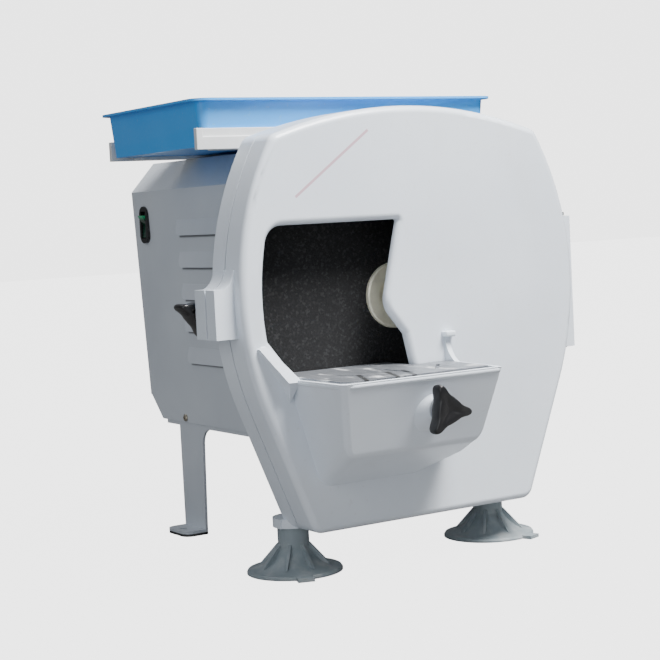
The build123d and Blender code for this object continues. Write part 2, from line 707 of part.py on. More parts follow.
with BuildPart() as hinge_pin:
    upright(HINGE_X, HINGE_Y, HINGE_LOW - 2, HINGE_HIGH, PIN_RADIUS)
    upright(HINGE_X, HINGE_Y, HINGE_HIGH + KNUCKLE_GAP, HINGE_HIGH + KNUCKLE_GAP + PIN_HEAD, PIN_RADIUS + 2)
    upright(HINGE_X, HINGE_Y, HINGE_HIGH, HINGE_HIGH + KNUCKLE_GAP, PIN_RADIUS)
keep(hinge_pin, "hinge_pin")

with BuildPart() as latch_washer:
    washer_back = EAR_BACK + LATCH_WASHER_THICK
    turned(LATCH_X, LATCH_Z, EAR_BACK, washer_back, STUD_RADIUS + 4)
    turned(LATCH_X, LATCH_Z, EAR_BACK, washer_back, STUD_RADIUS + RUNNING_FIT, Mode.SUBTRACT)
keep(latch_washer, "latch_washer")

LATCH_KNOB_FRONT = EAR_BACK + LATCH_WASHER_THICK + SEAT_FIT
LATCH_STUD_BACK = LATCH_KNOB_FRONT + KNOB_GRIP
with BuildPart() as latch_knob:
    turned(LATCH_X, LATCH_Z, LATCH_KNOB_FRONT, LATCH_KNOB_FRONT + KNOB_NECK, KNOB_HUB_RADIUS - 2)
    grip_front = LATCH_KNOB_FRONT + KNOB_NECK
    knob_arms(LATCH_X, LATCH_Z, grip_front, LATCH_KNOB_THICK, LATCH_KNOB_TURN, LATCH_KNOB_RADIUS)
    turned(LATCH_X, LATCH_Z, LATCH_KNOB_FRONT, LATCH_STUD_BACK, STUD_RADIUS + SEAT_FIT, Mode.SUBTRACT)
keep(latch_knob, "latch_knob")

with BuildPart() as latch_stud:
    turned(LATCH_X, LATCH_Z, DOOR_DEPTH - LATCH_BITE, LATCH_STUD_BACK, STUD_RADIUS)
keep(latch_stud, "latch_stud")

with BuildPart() as abrasive_disc:
    turned(0, HUB_Z, DISC_FRONT, PLATE_FRONT, DISC_RADIUS)
    turned(0, HUB_Z, DISC_FRONT, PLATE_FRONT, SHAFT_RADIUS, Mode.SUBTRACT)
keep(abrasive_disc, "abrasive_disc")

with BuildPart() as wheel_plate:
    turned(0, HUB_Z, PLATE_FRONT, PLATE_BACK, PLATE_RADIUS)
    turned(0, HUB_Z, PLATE_BACK, PLATE_BACK + PLATE_HUB_DEPTH, PLATE_HUB_RADIUS)
    turned(0, HUB_Z, PLATE_FRONT, PLATE_BACK + PLATE_HUB_DEPTH, SHAFT_RADIUS + SEAT_FIT, Mode.SUBTRACT)
keep(wheel_plate, "wheel_plate")

WASHER_FRONT = DISC_FRONT - WASHER_THICK
DISH_FLOOR = WASHER_FRONT + WASHER_THICK / 3
with BuildPart() as hub_washer:
    turned(0, HUB_Z, WASHER_FRONT, DISC_FRONT, WASHER_RADIUS)
    chamfer(hub_washer.faces().sort_by(Axis.Y)[0].edges(), 1.2)
    turned(0, HUB_Z, WASHER_FRONT, DISH_FLOOR, WASHER_DISH, Mode.SUBTRACT)
    turned(0, HUB_Z, WASHER_FRONT, DISC_FRONT, SCREW_RADIUS + SEAT_FIT, Mode.SUBTRACT)
keep(hub_washer, "hub_washer")

with BuildPart() as hub_screw:
    with BuildSketch(at_depth(DISH_FLOOR - SCREW_HEAD_THICK)):
        with Locations((0, HUB_Z)):
            RegularPolygon(SCREW_HEAD_RADIUS, 6)
    extrude(amount=-SCREW_HEAD_THICK)
    turned(0, HUB_Z, DISH_FLOOR, PLATE_BACK + PLATE_HUB_DEPTH, SCREW_RADIUS)
keep(hub_screw, "hub_screw")

with BuildPart() as motor_shaft:
    turned(0, HUB_Z, PLATE_FRONT, SHAFT_BACK, SHAFT_RADIUS)
    turned(0, HUB_Z, PLATE_FRONT, PLATE_BACK + PLATE_HUB_DEPTH + 2, SCREW_RADIUS + SEAT_FIT, Mode.SUBTRACT)
keep(motor_shaft, "motor_shaft")

with BuildPart() as shaft_seal:
    turned(0, HUB_Z, CHAMBER_BACK, CHAMBER_BACK + SEAL_WIDTH, SEAL_RADIUS)
    turned(0, HUB_Z, CHAMBER_BACK, CHAMBER_BACK + SEAL_WIDTH, SHAFT_RADIUS + RUNNING_FIT, Mode.SUBTRACT)
keep(shaft_seal, "shaft_seal")

SLINGER_FRONT = DRUM_BACK + SEAL_BOSS + 2
with BuildPart() as slinger:
    turned(0, HUB_Z, SLINGER_FRONT, SLINGER_FRONT + SLINGER_THICK, SEAL_RADIUS + 5)
    turned(0, HUB_Z, SLINGER_FRONT, SLINGER_FRONT + SLINGER_THICK, SHAFT_RADIUS + SEAT_FIT, Mode.SUBTRACT)
keep(slinger, "slinger")


def end_bell(closed, opened):
    """Cast end bell of the motor, with its bearing seat, from its closed face to its open rim."""
    inward = 1 if opened > closed else -1
    with BuildPart() as bell:
        turned(0, HUB_Z, min(closed, opened), max(closed, opened), BELL_RADIUS)
        fillet(bell.faces().sort_by(Axis.Y, reverse=inward < 0)[0].edges(), BELL_WALL)
        floor = closed + inward * BELL_WALL
        turned(0, HUB_Z, min(floor, opened), max(floor, opened), BELL_RADIUS - BELL_WALL, Mode.SUBTRACT)
        seat = floor + inward * BEARING_WIDTH
        turned(0, HUB_Z, min(floor, seat), max(floor, seat), BEARING_RADIUS + BELL_WALL)
        turned(0, HUB_Z, min(floor, seat), max(floor, seat), BEARING_RADIUS + SEAT_FIT, Mode.SUBTRACT)
        turned(0, HUB_Z, min(closed, floor), max(closed, floor), SHAFT_RADIUS + 1, Mode.SUBTRACT)
        with BuildSketch(at_depth(min(closed, floor))) as bores:
            with Locations((0, HUB_Z)):
                with PolarLocations(BOSS_CIRCLE, 4, start_angle=45):
                    Circle(BOLT_RADIUS + SEAT_FIT)
        extrude(bores.sketch, amount=-BELL_WALL, mode=Mode.SUBTRACT)
    return bell


def bearing(front):
    """Ball bearing as one ring, seated in its bell and running on the shaft."""
    with BuildPart() as ring:
        turned(0, HUB_Z, front, front + BEARING_WIDTH, BEARING_RADIUS)
        turned(0, HUB_Z, front, front + BEARING_WIDTH, SHAFT_RADIUS + RUNNING_FIT, Mode.SUBTRACT)
    return ring


keep(end_bell(MOTOR_FRONT, SHELL_FRONT), "front_bell")
keep(end_bell(MOTOR_BACK, SHELL_BACK), "rear_bell")
keep(bearing(MOTOR_FRONT + BELL_WALL), "front_bearing")
keep(bearing(MOTOR_BACK - BELL_WALL - BEARING_WIDTH), "rear_bearing")

with BuildPart() as motor_shell:
    turned(0, HUB_Z, SHELL_FRONT, SHELL_BACK, SHELL_RADIUS)
    turned(0, HUB_Z, SHELL_FRONT, SHELL_BACK, SHELL_RADIUS - SHELL_WALL, Mode.SUBTRACT)
keep(motor_shell, "motor_shell")

with BuildPart() as stator_core:
    core_front = MOTOR_MIDDLE - STATOR_LENGTH / 2
    turned(0, HUB_Z, core_front, core_front + STATOR_LENGTH, SHELL_RADIUS - SHELL_WALL - SEAT_FIT)
    turned(0, HUB_Z, core_front, core_front + STATOR_LENGTH, STATOR_BORE, Mode.SUBTRACT)
keep(stator_core, "stator_core")

with BuildPart() as rotor_core:
    turned(0, HUB_Z, core_front, core_front + STATOR_LENGTH, STATOR_BORE - ROTOR_GAP)
    turned(0, HUB_Z, core_front, core_front + STATOR_LENGTH, SHAFT_RADIUS + SEAT_FIT, Mode.SUBTRACT)
keep(rotor_core, "rotor_core")

FAN_FRONT = MOTOR_BACK + 3
with BuildPart() as cooling_fan:
    turned(0, HUB_Z, FAN_FRONT, FAN_FRONT + FAN_DEPTH, SHAFT_RADIUS + 5)
    turned(0, HUB_Z, FAN_FRONT + FAN_DEPTH - 2, FAN_FRONT + FAN_DEPTH, FAN_RADIUS)
    with BuildSketch(at_depth(FAN_FRONT)) as blades:
        with Locations((0, HUB_Z)):
            with PolarLocations((SHAFT_RADIUS + FAN_RADIUS) / 2 + 2, FAN_BLADES):
                Rectangle(FAN_RADIUS - SHAFT_RADIUS - 4, 2)
    extrude(blades.sketch, amount=-FAN_DEPTH)
    turned(0, HUB_Z, FAN_FRONT, FAN_FRONT + FAN_DEPTH, SHAFT_RADIUS + SEAT_FIT, Mode.SUBTRACT)
keep(cooling_fan, "cooling_fan")

with BuildPart() as motor_cradle:
    slab(-CRADLE_HALF, CRADLE_HALF, SHELL_FRONT + 8, SHELL_BACK - 8, DECK_Z, DECK_Z + SHEET)
    for front in (SHELL_FRONT + 12, SHELL_BACK - 12 - SADDLE_THICK):
        front_profile(
            [
                (-CRADLE_HALF + 8, DECK_Z),
                (CRADLE_HALF - 8, DECK_Z),
                (CRADLE_HALF, HUB_Z - SHELL_RADIUS + 24),
                (-CRADLE_HALF, HUB_Z - SHELL_RADIUS + 24),
            ],
            front,
            front + SADDLE_THICK,
        )
    turned(0, HUB_Z, SHELL_FRONT, SHELL_BACK, SHELL_RADIUS + SEAT_FIT, Mode.SUBTRACT)
keep(motor_cradle, "motor_cradle")

CAPACITOR_Z = HUB_Z + SHELL_RADIUS + CAPACITOR_RADIUS + CAPACITOR_GAP
capacitor_front = MOTOR_MIDDLE - CAPACITOR_LENGTH / 2
with BuildPart() as start_capacitor:
    turned(0, CAPACITOR_Z, capacitor_front, capacitor_front + CAPACITOR_LENGTH, CAPACITOR_RADIUS)
    fillet(start_capacitor.edges(), 2)
keep(start_capacitor, "start_capacitor")

with BuildPart() as capacitor_saddle:
    slab(
        -CLAMP_WIDTH / 2,
        CLAMP_WIDTH / 2,
        MOTOR_MIDDLE - CLAMP_LENGTH / 2,
        MOTOR_MIDDLE + CLAMP_LENGTH / 2,
        HUB_Z + SHELL_RADIUS * 0.95,
        CAPACITOR_Z - CAPACITOR_RADIUS / 2,
    )
    turned(0, HUB_Z, SHELL_FRONT, SHELL_BACK, SHELL_RADIUS + SEAT_FIT, Mode.SUBTRACT)
    turned(0, CAPACITOR_Z, SHELL_FRONT, SHELL_BACK, CAPACITOR_RADIUS + SEAT_FIT, Mode.SUBTRACT)
keep(capacitor_saddle, "capacitor_saddle")

with BuildPart() as chamber_screws:
    with BuildSketch(at_depth(CHAMBER_BACK - BOLT_HEAD)) as heads:
        with Locations((0, HUB_Z)):
            with PolarLocations(BOSS_CIRCLE, 4, start_angle=45):
                Circle(BOLT_HEAD_RADIUS)
    extrude(heads.sketch, amount=-BOLT_HEAD)
    with BuildSketch(at_depth(CHAMBER_BACK)) as shanks:
        with Locations((0, HUB_Z)):
            with PolarLocations(BOSS_CIRCLE, 4, start_angle=45):
                Circle(BOLT_RADIUS)
    extrude(shanks.sketch, amount=CHAMBER_BACK - MOTOR_FRONT - BELL_WALL)
keep(chamber_screws, "chamber_screws")


def leg(side):
    """Rear leg on one side of the chassis, with its foot bent outward."""
    knee_z = DECK_Z - SKIRT
    inner = DECK_HALF - SHEET
    with BuildSketch(Plane.YZ.offset(inner if side > 0 else -DECK_HALF), mode=Mode.PRIVATE) as face:
        with BuildLine():
            Polyline(
                (LEG_FRONT - LEG_ARCH, knee_z),
                (LEG_FRONT - LEG_ARCH, DECK_Z - SHEET),
                (LEG_BACK, DECK_Z - SHEET),
                (LEG_BACK, PAD_THICK),
                (LEG_FRONT + 4, PAD_THICK),
                (LEG_FRONT, knee_z - LEG_ARCH),
            )
            ThreePointArc(
                (LEG_FRONT, knee_z - LEG_ARCH),
                (LEG_FRONT - LEG_ARCH * 0.29, knee_z - LEG_ARCH * 0.29),
                (LEG_FRONT - LEG_ARCH, knee_z),
            )
        make_face()
    extrude(face.sketch, amount=SHEET)
    with BuildSketch(Plane.XY.offset(PAD_THICK), mode=Mode.PRIVATE) as sole:
        add(foot_shape(side))
    extrude(sole.sketch, amount=SHEET)


def foot_shape(side):
    """Foot flange from above: straight at the leg, rounded outside, with its bolt hole."""
    middle = side * (DECK_HALF - SHEET + FOOT_WIDTH / 2)
    with BuildSketch(mode=Mode.PRIVATE) as sole:
        with Locations((middle, (LEG_FRONT + 4 + LEG_BACK) / 2)):
            Rectangle(FOOT_WIDTH, LEG_BACK - LEG_FRONT - 4)
        outer = sole.vertices().sort_by(Axis.X)
        fillet(outer[-2:] if side > 0 else outer[:2], 9)
        with Locations((side * FOOT_BOLT_X, (LEG_FRONT + 4 + LEG_BACK) / 2)):
            Circle(FOOT_HOLE_RADIUS, mode=Mode.SUBTRACT)
    return sole.sketch


with BuildPart() as chassis:
    slab(-DECK_HALF, DECK_HALF, DRUM_BACK, DECK_BACK, DECK_Z - SHEET, DECK_Z)
    for side in (-1, 1):
        edge = side * (DECK_HALF - SHEET / 2)
        slab(edge - SHEET / 2, edge + SHEET / 2, DRUM_BACK, DECK_BACK, DECK_Z - SKIRT, DECK_Z - SHEET)
        leg(side)
    tab = FLANGE_BOLT_X + 12
    slab(-tab, tab, DRUM_BACK, DRUM_BACK + SHEET, FLANGE_BOLT_Z - 10, DECK_Z - SHEET)
    for side in (-1, 1):
        bolt_x = side * FLANGE_BOLT_X
        turned(bolt_x, FLANGE_BOLT_Z, DRUM_BACK, DRUM_BACK + SHEET, BOLT_RADIUS + SEAT_FIT, Mode.SUBTRACT)
    for y in COVER_SCREWS_Y:
        crossways(y, COVER_SCREW_Z, -DECK_HALF, DECK_HALF, COVER_SCREW_SHANK + SEAT_FIT, Mode.SUBTRACT)
keep(chassis, "chassis")

with BuildPart() as chassis_screws:
    head_front = DRUM_BACK + SHEET
    for side in (-1, 1):
        bolt_x = side * FLANGE_BOLT_X
        turned(bolt_x, FLANGE_BOLT_Z, CHAMBER_BACK, head_front, BOLT_RADIUS)
        turned(bolt_x, FLANGE_BOLT_Z, head_front, head_front + BOLT_HEAD, BOLT_HEAD_RADIUS)
keep(chassis_screws, "chassis_screws")

with BuildPart() as foot_pads:
    for side in (-1, 1):
        with BuildSketch(Plane.XY):
            add(foot_shape(side))
    extrude(amount=PAD_THICK)
keep(foot_pads, "foot_pads")

with BuildPart() as motor_cover:
    with BuildSketch(at_depth(DRUM_BACK)):
        add(cover_section(0))
    extrude(amount=DRUM_BACK - PANEL_FRONT)
    for step in range(LOUVRES):
        low = LOUVRE_TOP_Z - step * LOUVRE_PITCH
        for side in (-1, 1):
            add(louvre(side, low, 0))
    with BuildSketch(at_depth(DRUM_BACK)) as room:
        add(cover_section(COVER_SHEET))
    extrude(room.sketch, amount=DRUM_BACK - PANEL_FRONT, mode=Mode.SUBTRACT)
    for step in range(LOUVRES):
        low = LOUVRE_TOP_Z - step * LOUVRE_PITCH
        for side in (-1, 1):
            add(louvre(side, low, COVER_SHEET), mode=Mode.SUBTRACT)
    side_profile(
        [
            (PANEL_FRONT, COVER_HEEL_Z),
            (COVER_HEEL_Y, COVER_FOOT_Z),
            (COVER_BACK, COVER_FOOT_Z),
            (COVER_BACK, COVER_HEEL_Z),
        ],
        -FOLD_HALF,
        FOLD_HALF,
        Mode.SUBTRACT,
    )
    for y in COVER_SCREWS_Y:
        crossways(y, COVER_SCREW_Z, -FOLD_HALF, FOLD_HALF, COVER_SCREW_SHANK + SEAT_FIT, Mode.SUBTRACT)
    with BuildSketch(Plane.YZ.offset(-FOLD_HALF)) as switch_hole:
        with Locations((SWITCH_Y, SWITCH_Z)):
            SlotOverall(SWITCH_LONG + 2 * SEAT_FIT, SWITCH_WIDE + 2 * SEAT_FIT, rotation=90)
    extrude(switch_hole.sketch, amount=5, mode=Mode.SUBTRACT)
keep(motor_cover, "motor_cover")

with BuildPart() as rear_panel:
    with BuildSketch(at_depth(PANEL_FRONT)):
        add(cover_section(0))
    extrude(amount=-COVER_SHEET)
    slab(-FOLD_HALF, FOLD_HALF, PANEL_FRONT, COVER_BACK, COVER_FOOT_Z, COVER_HEEL_Z, Mode.SUBTRACT)
    side_profile(
        [
            (PANEL_FRONT, COVER_HEEL_Z),
            (COVER_HEEL_Y, COVER_FOOT_Z),
            (COVER_HEEL_Y + COVER_SHEET * 1.4, COVER_FOOT_Z),
            (COVER_BACK, COVER_HEEL_Z - COVER_SHEET * 0.4),
            (COVER_BACK, COVER_HEEL_Z),
        ],
        -COVER_FOOT_HALF,
        COVER_FOOT_HALF,
    )
    with BuildSketch(at_depth(PANEL_FRONT)) as slots:
        with Locations((0, HUB_Z)):
            with GridLocations(60, 14, 2, 7):
                SlotOverall(44, 5)
    extrude(slots.sketch, amount=-COVER_SHEET, mode=Mode.SUBTRACT)
    turned(GLAND_X, GLAND_Z, PANEL_FRONT, COVER_BACK, GLAND_RADIUS + SEAT_FIT, Mode.SUBTRACT)
keep(rear_panel, "rear_panel")

with BuildPart() as cord_gland:
    turned(GLAND_X, GLAND_Z, PANEL_FRONT - 6, COVER_BACK, GLAND_RADIUS)
    turned(GLAND_X, GLAND_Z, COVER_BACK, COVER_BACK + 9, GLAND_RADIUS + 3)
    chamfer(cord_gland.faces().sort_by(Axis.Y)[-1].edges(), 2)
    turned(GLAND_X, GLAND_Z, PANEL_FRONT - 6, COVER_BACK + 9, GLAND_BORE, Mode.SUBTRACT)
keep(cord_gland, "cord_gland")

with BuildPart() as cover_screws:
    for side in (-1, 1):
        head_x = side * skin_x(COVER_SCREW_Z + COVER_SCREW_RADIUS)
        for y in COVER_SCREWS_Y:
            crossways(y, COVER_SCREW_Z, head_x, head_x + side * 2.2, COVER_SCREW_RADIUS)
            crossways(y, COVER_SCREW_Z, side * (DECK_HALF - 8), head_x, COVER_SCREW_SHANK)
keep(cover_screws, "cover_screws")

SWITCH_X = -skin_x(SWITCH_Z) - 0.8
with BuildPart() as switch_body:
    with BuildSketch(Plane.YZ.offset(SWITCH_X - 2)) as bezel:
        with Locations((SWITCH_Y, SWITCH_Z)):
            SlotOverall(SWITCH_LONG, SWITCH_WIDE, rotation=90)
    extrude(bezel.sketch, amount=5)
    slab(
        SWITCH_X,
        SWITCH_X + 26,
        SWITCH_Y - SWITCH_WIDE / 2 + 2.5,
        SWITCH_Y + SWITCH_WIDE / 2 - 2.5,
        SWITCH_Z - SWITCH_LONG / 2 + 3.5,
        SWITCH_Z + SWITCH_LONG / 2 - 3.5,
    )
    slab(
        SWITCH_X - 2,
        SWITCH_X + 9,
        SWITCH_Y - ROCKER_WIDE / 2 - 0.5,
        SWITCH_Y + ROCKER_WIDE / 2 + 0.5,
        SWITCH_Z - ROCKER_LONG / 2 - 1.2,
        SWITCH_Z + ROCKER_LONG / 2 + 1.2,
        Mode.SUBTRACT,
    )
    turned(
        SWITCH_X + 4,
        SWITCH_Z,
        SWITCH_Y - ROCKER_WIDE / 2 - ROCKER_PIN,
        SWITCH_Y + ROCKER_WIDE / 2 + ROCKER_PIN,
        ROCKER_PIN_RADIUS + RUNNING_FIT,
        Mode.SUBTRACT,
    )
keep(switch_body, "switch_body")

with BuildPart() as switch_rocker:
    with BuildSketch(at_depth(SWITCH_Y - ROCKER_WIDE / 2)) as wedge:
        with BuildLine():
            Polyline(
                (SWITCH_X + 0.5, SWITCH_Z),
                (SWITCH_X - 3.5, SWITCH_Z + ROCKER_LONG / 2 - 1),
                (SWITCH_X + 4, SWITCH_Z + ROCKER_LONG / 2 - 3),
                (SWITCH_X + 4, SWITCH_Z - ROCKER_LONG / 2 + 3),
                (SWITCH_X - 3.5, SWITCH_Z - ROCKER_LONG / 2 + 1),
                close=True,
            )
        make_face()
    extrude(wedge.sketch, amount=-ROCKER_WIDE)
    turned(
        SWITCH_X + 4,
        SWITCH_Z,
        SWITCH_Y - ROCKER_WIDE / 2 - ROCKER_PIN + RUNNING_FIT,
        SWITCH_Y + ROCKER_WIDE / 2 + ROCKER_PIN - RUNNING_FIT,
        ROCKER_PIN_RADIUS,
    )
    tilted = switch_rocker.part.rotate(Axis((SWITCH_X + 4, SWITCH_Y, SWITCH_Z), (0, 1, 0)), -ROCKER_TILT)
with BuildPart() as set_rocker:
    add(tilted)
keep(set_rocker, "switch_rocker")

with BuildPart() as utility_tray:
    pan_y = PAN_FRONT + PAN_DEPTH / 2
    rim_half = PAN_LIP_HALF - PAN_LIP
    rim_depth = PAN_DEPTH - 2 * PAN_LIP
    with BuildSketch(Plane.XY.offset(PAN_RIM_Z)) as mouth:
        with Locations((0, pan_y)):
            RectangleRounded(2 * rim_half, rim_depth, 9)
    extrude(mouth.sketch, amount=PAN_BOTTOM_Z - PAN_RIM_Z, taper=PAN_DRAFT)
    with BuildSketch(Plane.XY.offset(PAN_RIM_Z)) as lip:
        with Locations((0, pan_y)):
            RectangleRounded(2 * PAN_LIP_HALF, PAN_DEPTH, 9 + PAN_LIP)
    extrude(lip.sketch, amount=-PAN_WALL)
    with BuildSketch(Plane.XY.offset(PAN_RIM_Z)) as hollow:
        with Locations((0, pan_y)):
            RectangleRounded(2 * (rim_half - PAN_WALL), rim_depth - 2 * PAN_WALL, 9 - PAN_WALL)
    extrude(hollow.sketch, amount=PAN_BOTTOM_Z + PAN_WALL - PAN_RIM_Z, taper=PAN_DRAFT, mode=Mode.SUBTRACT)
keep(utility_tray, "utility_tray")


def rail(inner_y, outward):
    """Rail across the roof: foot under the pan, upright lip outside it with a stepped face."""
    low = ROOF_Z
    with BuildPart() as strip:
        side_profile(
            [
                (inner_y - outward * RAIL_FOOT, low),
                (inner_y - outward * RAIL_FOOT, low + RAIL_FOOT_THICK),
                (inner_y, low + RAIL_FOOT_THICK),
                (inner_y, low + RAIL_HEIGHT),
                (inner_y + outward * (RAIL_THICK - 2), low + RAIL_HEIGHT),
                (inner_y + outward * (RAIL_THICK - 2), low + RAIL_HEIGHT * 0.62),
                (inner_y + outward * RAIL_THICK, low + RAIL_HEIGHT * 0.62),
                (inner_y + outward * RAIL_THICK, low),
            ],
            -RAIL_HALF,
            RAIL_HALF,
        )
    return strip


RAIL_SEAT = (PAN_RIM_Z - ROOF_Z - RAIL_HEIGHT) * tan(radians(PAN_DRAFT)) + PAN_LIP - RAIL_CLEAR
keep(rail(PAN_FRONT + RAIL_SEAT, -1), "tray_rail_front")
keep(rail(PAN_FRONT + PAN_DEPTH - RAIL_SEAT, 1), "tray_rail_rear")

with BuildPart() as tilt_rod:
    crossways(-ROD_BACK, ROD_Z, ROD_LEFT, ROD_RIGHT, ROD_RADIUS)
keep(tilt_rod, "tilt_rod")

with BuildPart() as work_table:
    with BuildSketch(Plane.XY.offset(TABLE_TOP_Z - TABLE_THICK)) as plan:
        with BuildLine():
            Polyline(
                (TABLE_LEFT, TABLE_FRONT),
                (TABLE_RIGHT + TABLE_FRONT * PLAN_LEAN, TABLE_FRONT),
                (TABLE_RIGHT, -TABLE_GAP),
                (TONGUE_RIGHT, -TABLE_GAP),
                (TONGUE_RIGHT, TABLE_BACK),
                (TONGUE_LEFT, TABLE_BACK),
                (TONGUE_LEFT, -TABLE_GAP),
                (TABLE_LEFT, -TABLE_GAP),
                close=True,
            )
        make_face()
        fillet(plan.vertices().group_by(Axis.Y)[0], 7)
    extrude(plan.sketch, amount=TABLE_THICK)
    with BuildSketch(Plane.XY.offset(TABLE_TOP_Z)) as grooves:
        for x, y, turn in GROOVES:
            with Locations(Location((x, y, 0), turn)):
                SlotOverall(GROOVE_LENGTH, GROOVE_WIDTH, rotation=90)
    extrude(grooves.sketch, amount=-GROOVE_DEPTH, mode=Mode.SUBTRACT)
keep(work_table, "work_table")

with BuildPart() as table_bracket:
    plate_z = TABLE_UNDER - BRACKET_THICK
    slab(BRACKET_LEFT, BRACKET_RIGHT, TABLE_FRONT + 2, 0, plate_z, TABLE_UNDER)
    foot_y = TABLE_FRONT + (TABLE_UNDER - BRACKET_FOOT_Z) * WALL_LEAN
    side_profile(
        [
            (TABLE_FRONT, TABLE_UNDER),
            (foot_y, BRACKET_FOOT_Z),
            (foot_y + BRACKET_THICK, BRACKET_FOOT_Z),
            (TABLE_FRONT + BRACKET_THICK, TABLE_UNDER),
        ],
        KNOB_X - BRACKET_HALF,
        KNOB_X + BRACKET_HALF,
    )
    with BuildSketch(at_depth(-HOPPER_REACH)) as slot:
        with Locations((KNOB_X, KNOB_Z - SLOT_TRAVEL / 2)):
            slot_width = 2 * (STUD_RADIUS + STUD_CLEAR)
            SlotOverall(SLOT_TRAVEL + slot_width, slot_width, rotation=90)
    extrude(slot.sketch, amount=-HOPPER_REACH / 2, mode=Mode.SUBTRACT)
    for left in (BRACKET_LEFT, BRACKET_RIGHT - BRACKET_THICK):
        side_profile(
            [
                (-ROD_BACK - 9, plate_z + 1),
                (-ROD_BACK + 9, plate_z + 1),
                (-ROD_BACK + 7, ROD_Z - 7),
                (-ROD_BACK - 7, ROD_Z - 7),
            ],
            left,
            left + BRACKET_THICK,
        )
    crossways(-ROD_BACK, ROD_Z, BRACKET_LEFT, BRACKET_RIGHT, ROD_RADIUS + RUNNING_FIT, Mode.SUBTRACT)
keep(table_bracket, "table_bracket")

with BuildPart() as table_knob:
    turned(KNOB_X, KNOB_Z, -BOSS_FACE - KNOB_NECK - SEAT_FIT, -BOSS_FACE - SEAT_FIT, KNOB_HUB_RADIUS - 2)
    grip_front = -BOSS_FACE - SEAT_FIT - KNOB_NECK - KNOB_THICK
    knob_arms(KNOB_X, KNOB_Z, grip_front, KNOB_THICK, KNOB_TURN, KNOB_RADIUS)
    stud_front = -BOSS_FACE - SEAT_FIT - KNOB_GRIP
    turned(KNOB_X, KNOB_Z, stud_front, -BOSS_FACE, STUD_RADIUS + SEAT_FIT, Mode.SUBTRACT)
keep(table_knob, "table_knob")

with BuildPart() as table_stud:
    turned(KNOB_X, KNOB_Z, stud_front, -STUD_END, STUD_RADIUS)
keep(table_stud, "table_stud")

with BuildPart() as clamp_nut:
    with BuildSketch(at_depth(-STUD_END - NUT_THICK)):
        with Locations((KNOB_X, KNOB_Z)):
            RegularPolygon(NUT_RADIUS, 6)
            Circle(STUD_RADIUS + RUNNING_FIT, mode=Mode.SUBTRACT)
    extrude(amount=-NUT_THICK)
keep(clamp_nut, "clamp_nut")

with BuildPart() as water_tube:
    with BuildLine() as route:
        FilletPolyline(
            (INLET_X, FLANGE_BACK - HOUSING_WALL - 4, INLET_Z),
            (INLET_X, TUBE_DEPTH, INLET_Z),
            (INLET_X - 26, TUBE_DEPTH, TUBE_Z),
            (-TUBE_REACH, TUBE_DEPTH, TUBE_Z),
            radius=[5, 14],
        )
    with BuildSketch(Plane(route.line @ 0, z_dir=route.line % 0)):
        Circle(TUBE_RADIUS)
    sweep()
    with BuildSketch(at_depth(TUBE_DEPTH)) as jets:
        with Locations((0, TUBE_Z)):
            with GridLocations(24, 1, 5, 1):
                Circle(0.9)
    extrude(jets.sketch, amount=-TUBE_RADIUS, mode=Mode.SUBTRACT)
keep(water_tube, "water_tube")

with BuildPart() as water_inlet:
    inlet_front = FLANGE_BACK - HOUSING_WALL - 4
    turned(INLET_X, INLET_Z, inlet_front, FLANGE_BACK + INLET_LENGTH, INLET_RADIUS)
    with BuildSketch(at_depth(FLANGE_BACK)) as collar:
        with Locations((INLET_X, INLET_Z)):
            RegularPolygon(INLET_RADIUS + 4, 6)
    extrude(collar.sketch, amount=-6)
    turned(INLET_X, INLET_Z, inlet_front, FLANGE_BACK + INLET_LENGTH, TUBE_BORE, Mode.SUBTRACT)
keep(water_inlet, "water_inlet")

with BuildPart() as drain_spout:
    turned(0, SPOUT_Z, FLANGE_BACK - HOUSING_WALL, FLANGE_BACK, SPOUT_RADIUS - SPOUT_SHOULDER)
    turned(0, SPOUT_Z, FLANGE_BACK, FLANGE_BACK + SPOUT_LENGTH, SPOUT_RADIUS)
    turned(0, SPOUT_Z, FLANGE_BACK - HOUSING_WALL, FLANGE_BACK + SPOUT_LENGTH, SPOUT_BORE, Mode.SUBTRACT)
keep(drain_spout, "drain_spout")


def suction_cup(side):
    """Rubber cup: thin skirt, ribs, and a neck moulded round its stud."""
    with BuildPart() as cup:
        with BuildSketch(Plane.XZ):
            with BuildLine():
                Line((0, CUP_HOLLOW_Z), (0, FOOT_Z))
                Line((0, FOOT_Z), (CUP_NECK_RADIUS, FOOT_Z))
                Line((CUP_NECK_RADIUS, FOOT_Z), (CUP_NECK_RADIUS, CUP_SKIRT_Z + 4))
                ThreePointArc(
                    (CUP_NECK_RADIUS, CUP_SKIRT_Z + 4),
                    (CUP_NECK_RADIUS + 7, CUP_SKIRT_Z - 5),
                    (CUP_RADIUS - 1, 3.2),
                )
                Polyline((CUP_RADIUS - 1, 3.2), (CUP_RADIUS, 1.5), (CUP_RADIUS, 0), (CUP_RADIUS - 4, 0))
                ThreePointArc((CUP_RADIUS - 4, 0), (CUP_RADIUS * 0.6, CUP_HOLLOW_Z * 0.7), (10, CUP_HOLLOW_Z))
                Line((10, CUP_HOLLOW_Z), (0, CUP_HOLLOW_Z))
            make_face()
        revolve(axis=Axis.Z)
        for index in range(CUP_RIBS):
            with Locations(Location((0, 0, 0), (0, 0, 360 * index / CUP_RIBS))):
                add(cup_rib())
        upright(0, 0, FOOT_Z - CUP_SOCKET, FOOT_Z, BOLT_RADIUS + SEAT_FIT, Mode.SUBTRACT)
        with Locations(Location((0, 0, 0), (0, 0, CUP_TAB_TURN[side]))):
            with Locations((CUP_RADIUS + 3, 0, 1.5)):
                Box(10, 14, 3)
    return cup.part


